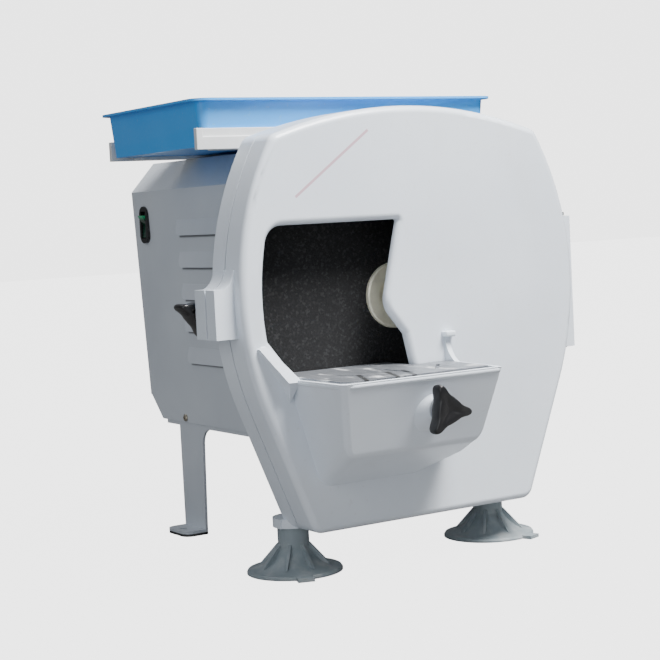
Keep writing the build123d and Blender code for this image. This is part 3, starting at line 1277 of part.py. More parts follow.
def cup_rib():
    """One gusset between the neck and the skirt of a cup."""
    with BuildPart(mode=Mode.PRIVATE) as rib:
        with BuildSketch(Plane.XZ.offset(-1.25)):
            with BuildLine():
                Polyline(
                    (CUP_NECK_RADIUS - 2, CUP_SKIRT_Z + 9),
                    (CUP_NECK_RADIUS + 1, CUP_SKIRT_Z + 7),
                    (CUP_RADIUS - 10, 6),
                    (CUP_NECK_RADIUS - 2, 8),
                    close=True,
                )
            make_face()
        extrude(amount=2.5)
    return rib.part


for side, name in ((-1, "suction_cup_left"), (1, "suction_cup_right")):
    with BuildPart() as placed_cup:
        with Locations((side * CUP_X, CUP_Y, 0)):
            add(suction_cup(side))
    keep(placed_cup, name)

with BuildPart() as cup_studs:
    for side in (-1, 1):
        upright(side * CUP_X, CUP_Y, FOOT_Z - CUP_SOCKET, FOOT_Z + LUG_THICK + 8, BOLT_RADIUS)
keep(cup_studs, "cup_studs")

with BuildPart() as cup_nuts:
    with BuildSketch(Plane.XY.offset(FOOT_Z + LUG_THICK)):
        with Locations((-CUP_X, CUP_Y), (CUP_X, CUP_Y)):
            RegularPolygon(NUT_ACROSS, 6)
            Circle(BOLT_RADIUS + SEAT_FIT, mode=Mode.SUBTRACT)
    extrude(amount=NUT_HEIGHT)
keep(cup_nuts, "cup_nuts")

# The origin lies under the middle of the machine
whole = Compound(children=[copy.copy(piece) for piece in pieces]).bounding_box()
to_middle = Location((-(whole.min.X + whole.max.X) / 2, -(whole.min.Y + whole.max.Y) / 2, 0))
os.makedirs("parts", exist_ok=True)
for piece in pieces:
    export_step(to_middle * piece, "parts/" + piece.label + ".step")
print("moved by", to_middle.position)
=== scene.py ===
"""Wet trimmer for plaster dental models: the finish and the fine forms of every piece.

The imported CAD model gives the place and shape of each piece. The sections below follow the
machine as it is put together, from the castings to the suction cups, in metres.
"""

import math

import bmesh
import bpy
from mathutils import Matrix, Vector


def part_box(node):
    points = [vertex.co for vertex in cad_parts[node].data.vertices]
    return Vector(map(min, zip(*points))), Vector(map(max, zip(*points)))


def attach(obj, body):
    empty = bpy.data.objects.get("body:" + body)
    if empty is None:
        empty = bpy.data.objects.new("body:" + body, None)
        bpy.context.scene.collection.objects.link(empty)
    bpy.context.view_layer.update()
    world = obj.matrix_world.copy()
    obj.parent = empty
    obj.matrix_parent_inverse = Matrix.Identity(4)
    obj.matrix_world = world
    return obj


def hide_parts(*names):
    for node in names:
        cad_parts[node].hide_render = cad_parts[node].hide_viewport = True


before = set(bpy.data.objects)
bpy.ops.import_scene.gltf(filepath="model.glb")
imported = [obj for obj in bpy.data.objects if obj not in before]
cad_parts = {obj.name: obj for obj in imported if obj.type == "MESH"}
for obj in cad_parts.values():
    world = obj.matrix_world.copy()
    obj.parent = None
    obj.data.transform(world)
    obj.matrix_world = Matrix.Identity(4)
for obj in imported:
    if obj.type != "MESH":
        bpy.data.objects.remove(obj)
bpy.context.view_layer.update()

# Camera
# A long lens at desk height, left of the machine's front and tipped a little, as the
# photograph was taken.


def placed(name, data):
    """New object of the scene, around a mesh, a curve, a lamp or a lens."""
    made = bpy.data.objects.new(name, data)
    bpy.context.scene.collection.objects.link(made)
    return made


turn, rise, roll = math.radians(-32.39), math.radians(4.066), math.radians(-2.98)
stand = Vector((-0.793225, -1.246285, 0.300))
backward = Vector(
    (math.sin(turn) * math.cos(rise), -math.cos(turn) * math.cos(rise), math.sin(rise))
)
level = Vector((math.cos(turn), math.sin(turn), 0))
upright = backward.cross(level)
right = level * math.cos(roll) + upright * math.sin(roll)
top = upright * math.cos(roll) - level * math.sin(roll)
lens = bpy.data.cameras.new("long_lens")
lens.lens = 88.27
lens.sensor_width = 36
lens.clip_end = 50
camera = placed("camera", lens)
aim = Matrix((right, top, backward)).transposed()
camera.matrix_world = Matrix.Translation(stand) @ aim.to_4x4()
bpy.context.scene.camera = camera

# Floor and studio light
# A pale sweep under the feet, a large soft lamp high in front of the machine, a wide one on
# the left that keeps the shaded side of the cover readable, and a weak one high behind it.


def studio_lamp(name, place, target, size, power, tint):
    """Square soft lamp that faces a point."""
    light = bpy.data.lights.new(name, "AREA")
    light.size = size
    light.energy = power
    light.color = tint
    lamp = placed(name, light)
    lamp.rotation_euler = (Vector(target) - Vector(place)).to_track_quat("-Z", "Y").to_euler()
    lamp.location = place


def brighten_for_camera(tree, plain, bright_kind, strength, share, end):
    """Shows the camera a bright surface, while less light falls from it on the machine."""
    bright = tree.nodes.new(bright_kind)
    bright.inputs["Strength"].default_value = strength
    ray = tree.nodes.new("ShaderNodeLightPath")
    part = tree.nodes.new("ShaderNodeMath")
    part.operation = "MULTIPLY"
    part.inputs[1].default_value = share
    blend = tree.nodes.new("ShaderNodeMixShader")
    tree.links.new(ray.outputs["Is Camera Ray"], part.inputs[0])
    tree.links.new(part.outputs[0], blend.inputs[0])
    tree.links.new(plain.outputs[0], blend.inputs[1])
    tree.links.new(bright.outputs[0], blend.inputs[2])
    tree.links.new(blend.outputs[0], end.inputs[0])


studio_lamp("ceiling_light", (0.35, -0.86, 1.68), (0, -0.1, 0.24), 0.8, 103, (1, 0.99, 0.98))
studio_lamp("room_light", (-2.0, -1.2, 0.9), (-0.1, 0.05, 0.2), 1.6, 18, (0.93, 0.96, 1))
studio_lamp("roof_light", (-0.2, 1.0, 1.9), (0, 0.1, 0.3), 1.2, 7, (1, 1, 1))

world = bpy.data.worlds.new("studio")
world.use_nodes = True
sky = world.node_tree.nodes["Background"]
sky.inputs["Color"].default_value = (0.90, 0.94, 1, 1)
sky.inputs["Strength"].default_value = 0.22
world_end = world.node_tree.nodes["World Output"]
brighten_for_camera(world.node_tree, sky, "ShaderNodeBackground", 4.0, 1.0, world_end)
bpy.context.scene.world = world

paper = bpy.data.materials.new("floor_paper")
paper.use_nodes = True
matt = paper.node_tree.nodes["Principled BSDF"]
matt.inputs["Base Color"].default_value = (0.15, 0.15, 0.15, 1)
matt.inputs["Roughness"].default_value = 0.9
paper_end = paper.node_tree.nodes["Material Output"]
brighten_for_camera(paper.node_tree, matt, "ShaderNodeEmission", 4.4, 0.8, paper_end)
sweep = bpy.data.meshes.new("floor")
sweep.from_pydata([(-8, -8, 0), (8, -8, 0), (8, 8, 0), (-8, 8, 0)], [], [(0, 1, 2, 3)])
sweep.materials.append(paper)
placed("floor", sweep)

# Door and housing
# Two thick castings of aluminium, cast in sand and sprayed with cool white enamel. The enamel
# has a faint orange peel, a cloudy gloss and a film of plaster dust, and the door carries one
# thin printed stripe.


class Tone:
    """A value or colour inside a finish; sums with it add their own maths nodes."""

    def __init__(self, finish, socket):
        self.finish = finish
        self.socket = socket

    def maths(self, operation, first, second):
        return self.finish.add("Math", {"operation": operation}, {0: first, 1: second})

    def __add__(self, other):
        return self.maths("ADD", self, other)

    __radd__ = __add__

    def __sub__(self, other):
        return self.maths("SUBTRACT", self, other)

    def __rsub__(self, other):
        return self.maths("SUBTRACT", other, self)

    def __mul__(self, other):
        return self.maths("MULTIPLY", self, other)

    __rmul__ = __mul__

    def __truediv__(self, other):
        return self.maths("DIVIDE", self, other)

    def __rtruediv__(self, other):
        return self.maths("DIVIDE", other, self)


class Finish:
    """One finish as a material; the method add makes each of its nodes."""

    def __init__(self, name):
        self.material = bpy.data.materials.new(name)
        self.material.use_nodes = True
        self.tree = self.material.node_tree
        self.tree.nodes.clear()
        self.place = self.add("TexCoord", out="Object")

    def add(self, kind, settings=None, values=None, out=0):
        """New node of a kind: its settings first, then values or links on its sockets."""
        node = self.tree.nodes.new("ShaderNode" + kind)
        for key, setting in (settings or {}).items():
            setattr(node, key, setting)
        for key, value in (values or {}).items():
            if isinstance(value, Tone):
                self.tree.links.new(value.socket, node.inputs[key])
            else:
                node.inputs[key].default_value = value
        return Tone(self, node.outputs[out]) if node.outputs else None

    def cloud(self, size, detail=3, stretch=(1, 1, 1), turned=(0, 0, 0)):
        """Soft noise whose patches are about one size across, in metres."""
        moved = self.add(
            "Mapping", None, {"Vector": self.place, "Rotation": turned, "Scale": stretch}
        )
        return self.add("TexNoise", None, {"Vector": moved, "Scale": 1 / size, "Detail": detail})

    def step(self, value, low, high):
        """Rises from 0 to 1 while the value goes from low to high."""
        return self.add(
            "MapRange",
            {"interpolation_type": "SMOOTHSTEP"},
            {"Value": value, "From Min": low, "From Max": high},
        )

    def distance(self, value):
        """The value without its sign."""
        return self.add("Math", {"operation": "ABSOLUTE"}, {0: value})

    def between(self, share, low, high):
        """Colour that goes from low to high with a share."""
        return self.add("Mix", {"data_type": "RGBA"}, {0: share, 6: low, 7: high}, 2)

    def along(self, axis):
        """Distance along one axis of the machine."""
        return self.add("SeparateXYZ", None, {"Vector": self.place}, axis)

    def relief(self, height, depth, strength=1.0):
        """Small relief of a depth in metres."""
        values = {"Height": height, "Distance": depth, "Strength": strength}
        return self.add("Bump", None, values, "Normal")

    def surface(self, values):
        """Closes the finish with its surface and gives the material."""
        self.add("OutputMaterial", None, {"Surface": self.add("BsdfPrincipled", None, values)})
        return self.material


def dress(material, *names):
    """Gives CAD nodes their finish."""
    for name in names:
        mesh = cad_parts[name].data
        mesh.materials.clear()
        mesh.materials.append(material)


def enamel(name, light, shade, gloss, peel, mark=None):
    """White enamel over metal, cloudy in tone and gloss, with orange peel and one kind of mark."""
    paint = Finish(name)
    drift = paint.cloud(0.11, 4)
    grime = paint.step(paint.cloud(0.035, 6, (1, 1, 0.45)), 0.52, 0.80)
    speck = paint.step(paint.cloud(0.004, 2), 0.66, 0.74)
    tone = paint.between(paint.step(drift, 0.3, 0.7), shade, light)
    tone = paint.between(grime * 0.14, tone, (0.60, 0.60, 0.57, 1))
    tone = paint.between(speck * 0.12, tone, (0.52, 0.51, 0.49, 1))
    if mark:
        share, ink = mark(paint)
        tone = paint.between(share, tone, ink)
    waves = paint.cloud(0.018, 2) * 0.8 + paint.cloud(0.0022, 2) * 0.2
    return paint.surface(
        {
            "Base Color": tone,
            "Roughness": drift * 0.14 + gloss + grime * 0.08,
            "Coat Weight": 0.35,
            "Coat Roughness": 0.14,
            "Normal": paint.relief(waves, peel, 0.4),
        }
    )


def printed_stripe(paint):
    """Share and ink of the straight stripe on the door's front face, over the window."""
    low_end, high_end, half_width = Vector((-0.1120, 0.3153)), Vector((-0.0379, 0.3687)), 0.0014
    front_face = -0.130285
    run = high_end - low_end
    way = run.normalized()
    from_x = paint.along("X") - low_end.x
    from_z = paint.along("Z") - low_end.y
    forth = from_x * way.x + from_z * way.y
    aside = paint.distance(from_z * way.x - from_x * way.y)
    line = paint.step(aside, half_width, half_width * 0.6)
    ends = paint.step(forth, 0.0, 0.001) * paint.step(forth, run.length, run.length - 0.001)
    front = paint.step(paint.along("Y"), front_face + 0.002, front_face + 0.001)
    return line * ends * front, (0.60, 0.42, 0.49, 1)


door_enamel = enamel(
    "door_enamel", (0.79, 0.85, 0.92, 1), (0.735, 0.795, 0.87, 1), 0.26, 0.0004, printed_stripe
)
housing_enamel = enamel(
    "housing_enamel", (0.79, 0.85, 0.92, 1), (0.73, 0.79, 0.86, 1), 0.28, 0.0004
)
dress(door_enamel, "door")
dress(housing_enamel, "housing")

# Rim bead and fin nub
# Cast in one with the door and under the same enamel: a rounded bead that stiffens the rim of
# the hopper, and a small pad on top of the fin, with its edges rounded by the mould.


def settled(made):
    """Plain mesh of an object with its curve or modifiers carried out."""
    ready = made.evaluated_get(bpy.context.evaluated_depsgraph_get())
    return bpy.data.meshes.new_from_object(ready)


def moulded_bead(name, corners, radius, finish):
    """Rounded bead along straight runs; each corner is a point and how far its turn reaches."""
    turn_steps = 8
    points = [Vector(corners[0][:3])]
    for before, corner, after in zip(corners, corners[1:], corners[2:]):
        here, reach = Vector(corner[:3]), corner[3]
        start = here + (Vector(before[:3]) - here).normalized() * reach
        end = here + (Vector(after[:3]) - here).normalized() * reach
        for step in range(turn_steps + 1):
            t = step / turn_steps
            points.append(start * (1 - t) ** 2 + here * 2 * t * (1 - t) + end * t**2)
    points.append(Vector(corners[-1][:3]))
    line = bpy.data.curves.new(name, "CURVE")
    line.dimensions = "3D"
    line.bevel_depth = radius
    line.bevel_resolution = 5
    line.use_fill_caps = True
    spline = line.splines.new("POLY")
    spline.points.add(len(points) - 1)
    for spot, point in zip(spline.points, points):
        spot.co = (*point, 1)
    drawn = placed(name, line)
    mesh = settled(drawn)
    bpy.data.objects.remove(drawn)
    for face in mesh.polygons:
        face.use_smooth = True
    mesh.materials.clear()
    mesh.materials.append(finish)
    return placed(name, mesh)


def band(form, first, second):
    """Faces between two rings of as many points."""
    for index in range(len(first)):
        after = (index + 1) % len(first)
        form.faces.new((first[index], first[after], second[after], second[index]))


def mesh_from(form, name, finish=None, smooth=False):
    """Turns a form into a mesh whose faces point outward."""
    bmesh.ops.recalc_face_normals(form, faces=form.faces)
    for face in form.faces:
        face.smooth = smooth
    mesh = bpy.data.meshes.new(name)
    form.to_mesh(mesh)
    form.free()
    if finish:
        mesh.materials.append(finish)
    return mesh


def cast_nub(name, low, high, taper, finish):
    """Small cast pad with every edge rounded, its foot wider than its face."""
    form = bmesh.new()
    centre = (low + high) / 2
    foot, brow = [], []
    for x, z in ((low.x, low.z), (high.x, low.z), (high.x, high.z), (low.x, high.z)):
        foot.append(form.verts.new((x, high.y, z)))
        inward_x, inward_z = (centre.x - x) * taper, (centre.z - z) * taper
        brow.append(form.verts.new((x + inward_x, low.y, z + inward_z)))
    form.faces.new(foot)
    form.faces.new(brow[::-1])
    band(form, foot[::-1], brow[::-1])
    bmesh.ops.bevel(
        form, geom=form.edges[:], offset=0.0014, segments=4, affect="EDGES", profile=0.5
    )
    return placed(name, mesh_from(form, name, finish, smooth=True))


rim_height, rim_front = 0.1674, -0.2092
rim_corners = (
    (-0.1256, -0.1395, rim_height, 0),
    (-0.1256, rim_front, rim_height, 0.011),
    (0.0268, rim_front, rim_height, 0.005),
    (0.0344, -0.1375, rim_height, 0),
)
rim_bead = moulded_bead("rim_bead", rim_corners, 0.0025, door_enamel)
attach(rim_bead, "door")

nub_low, nub_high = Vector((0.0272, -0.1372, 0.1907)), Vector((0.0388, -0.1300, 0.1961))
fin_nub = cast_nub("fin_nub", nub_low, nub_high, 0.12, door_enamel)
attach(fin_nub, "door")

# Seal, hinge pin and latch
# A moulded black rubber seal is pressed between the castings, and a plain steel pin joins the
# hinge knuckles. A turned steel stud with a washer and a three-lobe grip of black plastic
# draws the door shut.


def soft_rubber(name, dark, dust, size):
    """Matt rubber with a light bloom of dust."""
    rubber = Finish(name)
    bloom = rubber.step(rubber.cloud(size, 5), 0.42, 0.72)
    return rubber.surface(
        {
            "Base Color": rubber.between(bloom, dark, dust),
            "Roughness": bloom * 0.2 + 0.55,
            "Normal": rubber.relief(rubber.cloud(0.0011, 3), 0.00012, 0.5),
        }
    )


def turned_metal(name, colour, rough, centre, spin, metallic=1.0):
    """Metal turned on a lathe: fine rings about an axis, which spin leaves out, through a point."""
    metal = Finish(name)
    moved = metal.add("VectorMath", {"operation": "SUBTRACT"}, {0: metal.place, 1: centre})
    flat = metal.add("VectorMath", {"operation": "MULTIPLY"}, {0: moved, 1: spin})
    radius = metal.add("VectorMath", {"operation": "LENGTH"}, {0: flat}, "Value")
    rings = metal.add(
        "TexNoise", {"noise_dimensions": "1D"}, {"W": radius, "Scale": 2600, "Detail": 3}
    )
    stain = metal.cloud(0.012, 4)
    stained = [part * 0.8 for part in colour[:3]] + [1]
    return metal.surface(
        {
            "Base Color": metal.between(metal.step(stain, 0.35, 0.75), colour, stained),
            "Metallic": metallic,
            "Roughness": rings * 0.16 + stain * 0.12 + rough,
            "Normal": metal.relief(rings, 0.00004, 0.5),
        }
    )


def moulded_plastic(name, colour, light, rough, grain):
    """Moulded plastic with a fine grain, rubbed lighter in patches."""
    plastic = Finish(name)
    rubbed = plastic.step(plastic.cloud(0.02, 4), 0.5, 0.8)
    return plastic.surface(
        {
            "Base Color": plastic.between(rubbed, colour, light),
            "Roughness": rubbed * 0.12 + rough,
            "Normal": plastic.relief(plastic.cloud(0.0009, 2), grain, 0.4),
        }
    )


def middle(node):
    """Middle point of a CAD node."""
    low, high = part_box(node)
    return (low + high) / 2


knob_black = moulded_plastic(
    "knob_black", (0.010, 0.010, 0.011, 1), (0.028, 0.028, 0.028, 1), 0.28, 0.00006
)


def star_knob(name, node, body, stud, turned, reach):
    """Three-lobe grip in place of a CAD knob: slim rounded lobes, hollow flanks, dished cap, neck."""
    half_lobe = ((1.0, 0.0), (0.965, 0.085), (0.85, 0.15), (0.66, 0.19), (0.50, 0.25), (0.41, 0.33))
    lobe = half_lobe[::-1] + tuple((x, -y) for x, y in half_lobe[1:])
    rim = []
    for spoke in range(3):
        about = math.radians(turned + 120 * spoke)
        cos, sin = math.cos(about), math.sin(about)
        for x, y in lobe:
            rim.append((cos * x + sin * y, sin * x - cos * y))
    collar, neck, dish = 0.0034, 0.0088, 0.16
    low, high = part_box(node)
    front, back = low.y, high.y
    grip_back = back - collar
    thick = grip_back - front
    centre = middle(stud)
    swell = ((0.10, 0.30), (0.02, 0.55), (0.0, 0.80), (0.05, 0.93))
    swell += ((dish, 0.99), (0.55, 1.0), (0.86, 0.96), (1.0, 0.84))
    form = bmesh.new()
    rows = []
    for depth, size in swell:
        y, size = front + thick * depth, reach * size
        row = [form.verts.new((centre.x + u * size, y, centre.z + v * size)) for u, v in rim]
        rows.append(row)
    for y in (grip_back, back):
        row = []
        for u, v in rim:
            about = math.atan2(v, u)
            x, z = centre.x + neck * math.cos(about), centre.z + neck * math.sin(about)
            row.append(form.verts.new((x, y, z)))
        rows.append(row)
    for first, second in zip(rows, rows[1:]):
        band(form, first, second)
    for row, y in ((rows[0], front + thick * dish), (rows[-1], back)):
        pole = form.verts.new((centre.x, y, centre.z))
        for index in range(len(rim)):
            form.faces.new((row[index], pole, row[(index + 1) % len(rim)]))
    knob = placed(name, mesh_from(form, name, knob_black, smooth=True))
    rounding = knob.modifiers.new("rounding", "SUBSURF")
    rounding.levels = 2
    rounding.render_levels = 2
    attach(knob, body)
    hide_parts(node)


seal_rubber = soft_rubber("seal_rubber", (0.02, 0.02, 0.022, 1), (0.07, 0.07, 0.07, 1), 0.01)
dress(seal_rubber, "door_gasket")
steel = (0.62, 0.62, 0.6, 1)
dress(turned_metal("pin_steel", steel, 0.22, middle("hinge_pin"), (1, 1, 0)), "hinge_pin")
latch_steel = turned_metal(
    "latch_steel", (0.64, 0.63, 0.61, 1), 0.2, middle("latch_stud"), (1, 0, 1)
)
dress(latch_steel, "latch_stud", "latch_washer")
star_knob("latch_grip", "latch_knob", "latch", "latch_stud", 38, 0.0208)

# Wheel
# The grit disc is black silicon carbide glued on a backing, with sparkling grains about half a
# millimetre across. A dished steel washer and a brass screw hold it on a turned alloy plate,
# and rubber rings keep the water off the shaft.

grit = Finish("black_grit")
grains = grit.add("TexVoronoi", None, {"Vector": grit.place, "Scale": 1100.0}, "Distance")
spark = grit.add("TexVoronoi", None, {"Vector": grit.place, "Scale": 520.0}, "Color")
glint = grit.step(grit.add("SeparateColor", None, {"Color": spark}, "Red"), 0.72, 0.98)
clumps = grit.step(grit.cloud(0.0017, 3), 0.40, 0.70)
paste = grit.step(grit.cloud(0.03, 5), 0.52, 0.78)
carbide, worn_carbide = (0.004, 0.004, 0.005, 1), (0.028, 0.030, 0.031, 1)
grit_tone = grit.between(clumps * 0.35 + glint * 0.35, carbide, worn_carbide)
black_grit = grit.surface(
    {
        "Base Color": grit.between(paste * 0.25, grit_tone, (0.02, 0.02, 0.02, 1)),
        "Roughness": 0.86 - glint * 0.2,
        "Normal": grit.relief(grains, 0.0004, 0.7),
    }
)
dress(black_grit, "abrasive_disc")

hub = middle("wheel_plate")
washer_steel = turned_metal("washer_steel", (0.93, 0.90, 0.72, 1), 0.36, hub, (1, 0, 1), 0.25)
hub_brass = turned_metal("hub_brass", (0.80, 0.62, 0.30, 1), 0.3, hub, (1, 0, 1), 0.6)
shaft_steel = turned_metal("shaft_steel", (0.60, 0.60, 0.60, 1), 0.16, hub, (1, 0, 1))
turned_alloy = turned_metal("turned_alloy", (0.66, 0.67, 0.68, 1), 0.34, hub, (1, 0, 1))
slinger_rubber = soft_rubber("slinger_rubber", (0.03, 0.03, 0.03, 1), (0.08, 0.08, 0.08, 1), 0.01)
dress(washer_steel, "hub_washer")
dress(hub_brass, "hub_screw")
dress(shaft_steel, "motor_shaft")
dress(turned_alloy, "wheel_plate")
dress(slinger_rubber, "slinger", "shaft_seal")

# Motor
# A capacitor-start motor hangs behind the chamber: a pressed steel shell in dark enamel between
# turned alloy end bells, stamped and stacked cores, ball bearings and a moulded fan. Its
# capacitor is a drawn aluminium can in a plastic saddle.

shell_enamel = enamel("shell_enamel", (0.055, 0.065, 0.08, 1), (0.045, 0.052, 0.065, 1), 0.32, 0.0003)
dress(shell_enamel, "motor_shell")
dress(turned_alloy, "front_bell", "rear_bell")

core = Finish("laminated_core")
sheets = core.add(
    "TexWave", {"bands_direction": "Y"}, {"Vector": core.place, "Scale": 320.0, "Distortion": 0.2}
)
rust = core.step(core.cloud(0.02, 4), 0.5, 0.8)
laminated_core = core.surface(
    {
        "Base Color": core.between(rust, (0.16, 0.15, 0.15, 1), (0.20, 0.13, 0.09, 1)),
        "Metallic": 0.8,
        "Roughness": 0.5 + rust * 0.2,
        "Normal": core.relief(sheets, 0.0002, 0.6),
    }
)
dress(laminated_core, "stator_core", "rotor_core")

bearing_steel = turned_metal("bearing_steel", (0.68, 0.68, 0.68, 1), 0.08, hub, (1, 0, 1))
dress(bearing_steel, "front_bearing", "rear_bearing")
fan_plastic = moulded_plastic(
    "fan_plastic", (0.05, 0.05, 0.052, 1), (0.09, 0.09, 0.09, 1), 0.5, 0.0001
)
dress(fan_plastic, "cooling_fan", "capacitor_saddle")

can = Finish("capacitor_can")
brushed = can.cloud(0.0012, 3, (1, 0.05, 1))
capacitor_can = can.surface(
    {
        "Base Color": can.between(brushed, (0.60, 0.61, 0.62, 1), (0.72, 0.73, 0.74, 1)),
        "Metallic": 1.0,
        "Roughness": brushed * 0.2 + 0.25,
        "Normal": can.relief(brushed, 0.00004, 0.5),
    }
)
dress(capacitor_can, "start_capacitor")

# Chassis, cover and rear panel
# Folded steel sheet under the enamel of the castings, a little thinner and flatter, its colour dimmed
# as painted shade.
# Painted shade lies as a dark line under the pressed lips of the louvres on both sides of the cover.
# Plated steel screws and nuts hold the sheet, and the cups, to the castings.


def louvre_lip_shade(paint):
    """Share and colour of the painted shade, a dark line under the lip of each louvre."""
    top_lip, pitch, count, near_end, far_end = 0.288, 0.0304, 5, 0.0085, 0.125
    rows = (top_lip - paint.along("Z")) / pitch
    below = paint.add("Math", {"operation": "FRACT"}, {0: rows}) * pitch
    lip_shade = paint.step(below, 0.0030, 0.0012) * paint.step(paint.along("Z"), top_lip, top_lip - 0.0004)
    last_row = top_lip - pitch * (count - 0.5)
    lip_shade = lip_shade * paint.step(paint.along("Z"), last_row, last_row + pitch * 0.1)
    lip_shade = lip_shade * paint.step(paint.along("Y"), near_end, near_end + 0.003)
    lip_shade = lip_shade * paint.step(paint.along("Y"), far_end, far_end - 0.003)
    return lip_shade * 0.8, (0.10, 0.10, 0.11, 1)


# The sheet tones are the castings' enamel dimmed evenly, as painted shade on the sheet parts.
dimmed_sheet_light, dimmed_sheet_shade = (0.66, 0.705, 0.76, 1), (0.60, 0.645, 0.70, 1)
sheet_enamel = enamel("sheet_enamel", dimmed_sheet_light, dimmed_sheet_shade, 0.3, 0.00016)
# The cover's enamel carries a dark line of painted shade under each louvre lip.
cover_enamel = enamel("cover_enamel", dimmed_sheet_light, dimmed_sheet_shade, 0.3, 0.0003, louvre_lip_shade)
dress(sheet_enamel, "chassis", "rear_panel", "motor_cradle")
dress(cover_enamel, "motor_cover")

plated = Finish("plated_steel")
haze = plated.cloud(0.006, 4)
plated_steel = plated.surface(
    {
        "Base Color": plated.between(haze, (0.62, 0.62, 0.60, 1), (0.74, 0.73, 0.70, 1)),
        "Metallic": 1.0,
        "Roughness": haze * 0.2 + 0.14,
        "Normal": plated.relief(plated.cloud(0.0008, 2), 0.00003, 0.4),
    }
)
dress(plated_steel, "chassis_screws", "chamber_screws", "clamp_nut", "cup_nuts", "cup_studs")

# Cover screws
# Domed cross-recess screws of brassed steel, two low on each side, driven through the cover
# into the chassis. Each was tightened to its own angle.


def recess_blade(length, width):
    """Tapered blade of the driver, which leaves half of a cross recess."""
    foot_shrink, foot_depth, brow_height = 0.8, 0.22, 0.9
    form = bmesh.new()
    corners = ((-length, -width), (length, -width), (length, width), (-length, width))
    foot = [form.verts.new((x * foot_shrink, y * foot_shrink, foot_depth)) for x, y in corners]
    brow = [form.verts.new((x, y, brow_height)) for x, y in corners]
    form.faces.new(foot[::-1])
    form.faces.new(brow)
    band(form, foot, brow)
    return placed("recess", mesh_from(form, "recess"))


def screw_form():
    """Screw with a head radius of 1: domed head, shank of half that width, cross recess."""
    profile = ((0.0, -2.7), (0.46, -2.7), (0.5, -2.55), (0.5, 0.0), (1.0, 0.0), (1.0, 0.16))
    profile += ((0.93, 0.33), (0.76, 0.47), (0.46, 0.57), (0.0, 0.6))
    form = bmesh.new()
    line = [form.verts.new((radius, 0, height)) for radius, height in profile]
    edges = [form.edges.new(pair) for pair in zip(line, line[1:])]
    bmesh.ops.spin(
        form, geom=line + edges, cent=(0, 0, 0), axis=(0, 0, 1), angle=math.tau, steps=28
    )
    bmesh.ops.remove_doubles(form, verts=form.verts, dist=1e-4)
    screw = placed("screw_form", mesh_from(form, "screw_form"))
    blades = [recess_blade(0.62, 0.13), recess_blade(0.13, 0.62)]
    for blade in blades:
        recess = screw.modifiers.new("recess", "BOOLEAN")
        recess.operation = "DIFFERENCE"
        recess.object = blade
    driven = settled(screw)
    screw.modifiers.clear()
    screw.data = driven
    for blade in blades:
        bpy.data.objects.remove(blade)
    return screw


def screw_row_tree():
    """Geometry nodes that set a screw on each spot, and the identifiers of their inputs."""
    tree = bpy.data.node_groups.new("screw_row", "GeometryNodeTree")
    sockets = {}
    for label, kind in (
        ("Spots", "NodeSocketGeometry"),
        ("Screw", "NodeSocketObject"),
        ("Head Radius", "NodeSocketFloat"),
        ("Seed", "NodeSocketInt"),
        ("Finish", "NodeSocketMaterial"),
    ):
        made = tree.interface.new_socket(label, in_out="INPUT", socket_type=kind)
        sockets[label] = made.identifier
    tree.interface.new_socket("Screws", in_out="OUTPUT", socket_type="NodeSocketGeometry")

    def node(kind, settings, values):
        """New node: its settings first, then values or links on its sockets."""
        made = tree.nodes.new(kind)
        for key, setting in settings.items():
            setattr(made, key, setting)
        for key, value in values.items():
            if isinstance(value, bpy.types.NodeSocket):
                tree.links.new(value, made.inputs[key])
            else:
                made.inputs[key].default_value = value
        return made

    given = node("NodeGroupInput", {}, {}).outputs
    facing = node(
        "GeometryNodeInputNamedAttribute", {"data_type": "FLOAT_VECTOR"}, {"Name": "facing"}
    )
    lean = node("FunctionNodeAlignRotationToVector", {"axis": "Z"}, {"Vector": facing.outputs[0]})
    angle = node(
        "FunctionNodeRandomValue",
        {"data_type": "FLOAT"},
        {2: 0.0, 3: math.tau, "Seed": given["Seed"]},
    )
    about = node(
        "FunctionNodeAxisAngleToRotation", {}, {"Axis": (0, 0, 1), "Angle": angle.outputs[1]}
    )
    driven = node(
        "FunctionNodeRotateRotation",
        {"rotation_space": "LOCAL"},
        {"Rotation": lean.outputs[0], "Rotate By": about.outputs[0]},
    )
    form = node("GeometryNodeObjectInfo", {}, {"Object": given["Screw"]})
    row = node(
        "GeometryNodeInstanceOnPoints",
        {},
        {
            "Points": given["Spots"],
            "Instance": form.outputs["Geometry"],
            "Rotation": driven.outputs[0],
            "Scale": given["Head Radius"],
        },
    )
    real = node("GeometryNodeRealizeInstances", {}, {"Geometry": row.outputs[0]})
    dressed = node(
        "GeometryNodeSetMaterial", {}, {"Geometry": real.outputs[0], "Material": given["Finish"]}
    )
    node("NodeGroupOutput", {}, {0: dressed.outputs[0]})
    return tree, sockets


def screw_row(name, spots, facings, head_radius, seed, finish):
    """Screws at their spots, each turned to face outward and driven home at its own angle."""
    mesh = bpy.data.meshes.new(name)
    mesh.from_pydata(spots, [], [])
    directions = mesh.attributes.new("facing", "FLOAT_VECTOR", "POINT").data
    directions.foreach_set("vector", sum(facings, ()))
    carrier = placed(name, mesh)
    tree, sockets = screw_row_tree()
    screw = screw_form()
    row = carrier.modifiers.new("row", "NODES")
    row.node_group = tree
    row[sockets["Screw"]] = screw
    row[sockets["Head Radius"]] = head_radius
    row[sockets["Seed"]] = seed
    row[sockets["Finish"]] = finish
    made = settled(carrier)
    carrier.modifiers.clear()
    carrier.data = made
    bpy.data.objects.remove(screw)
    return carrier


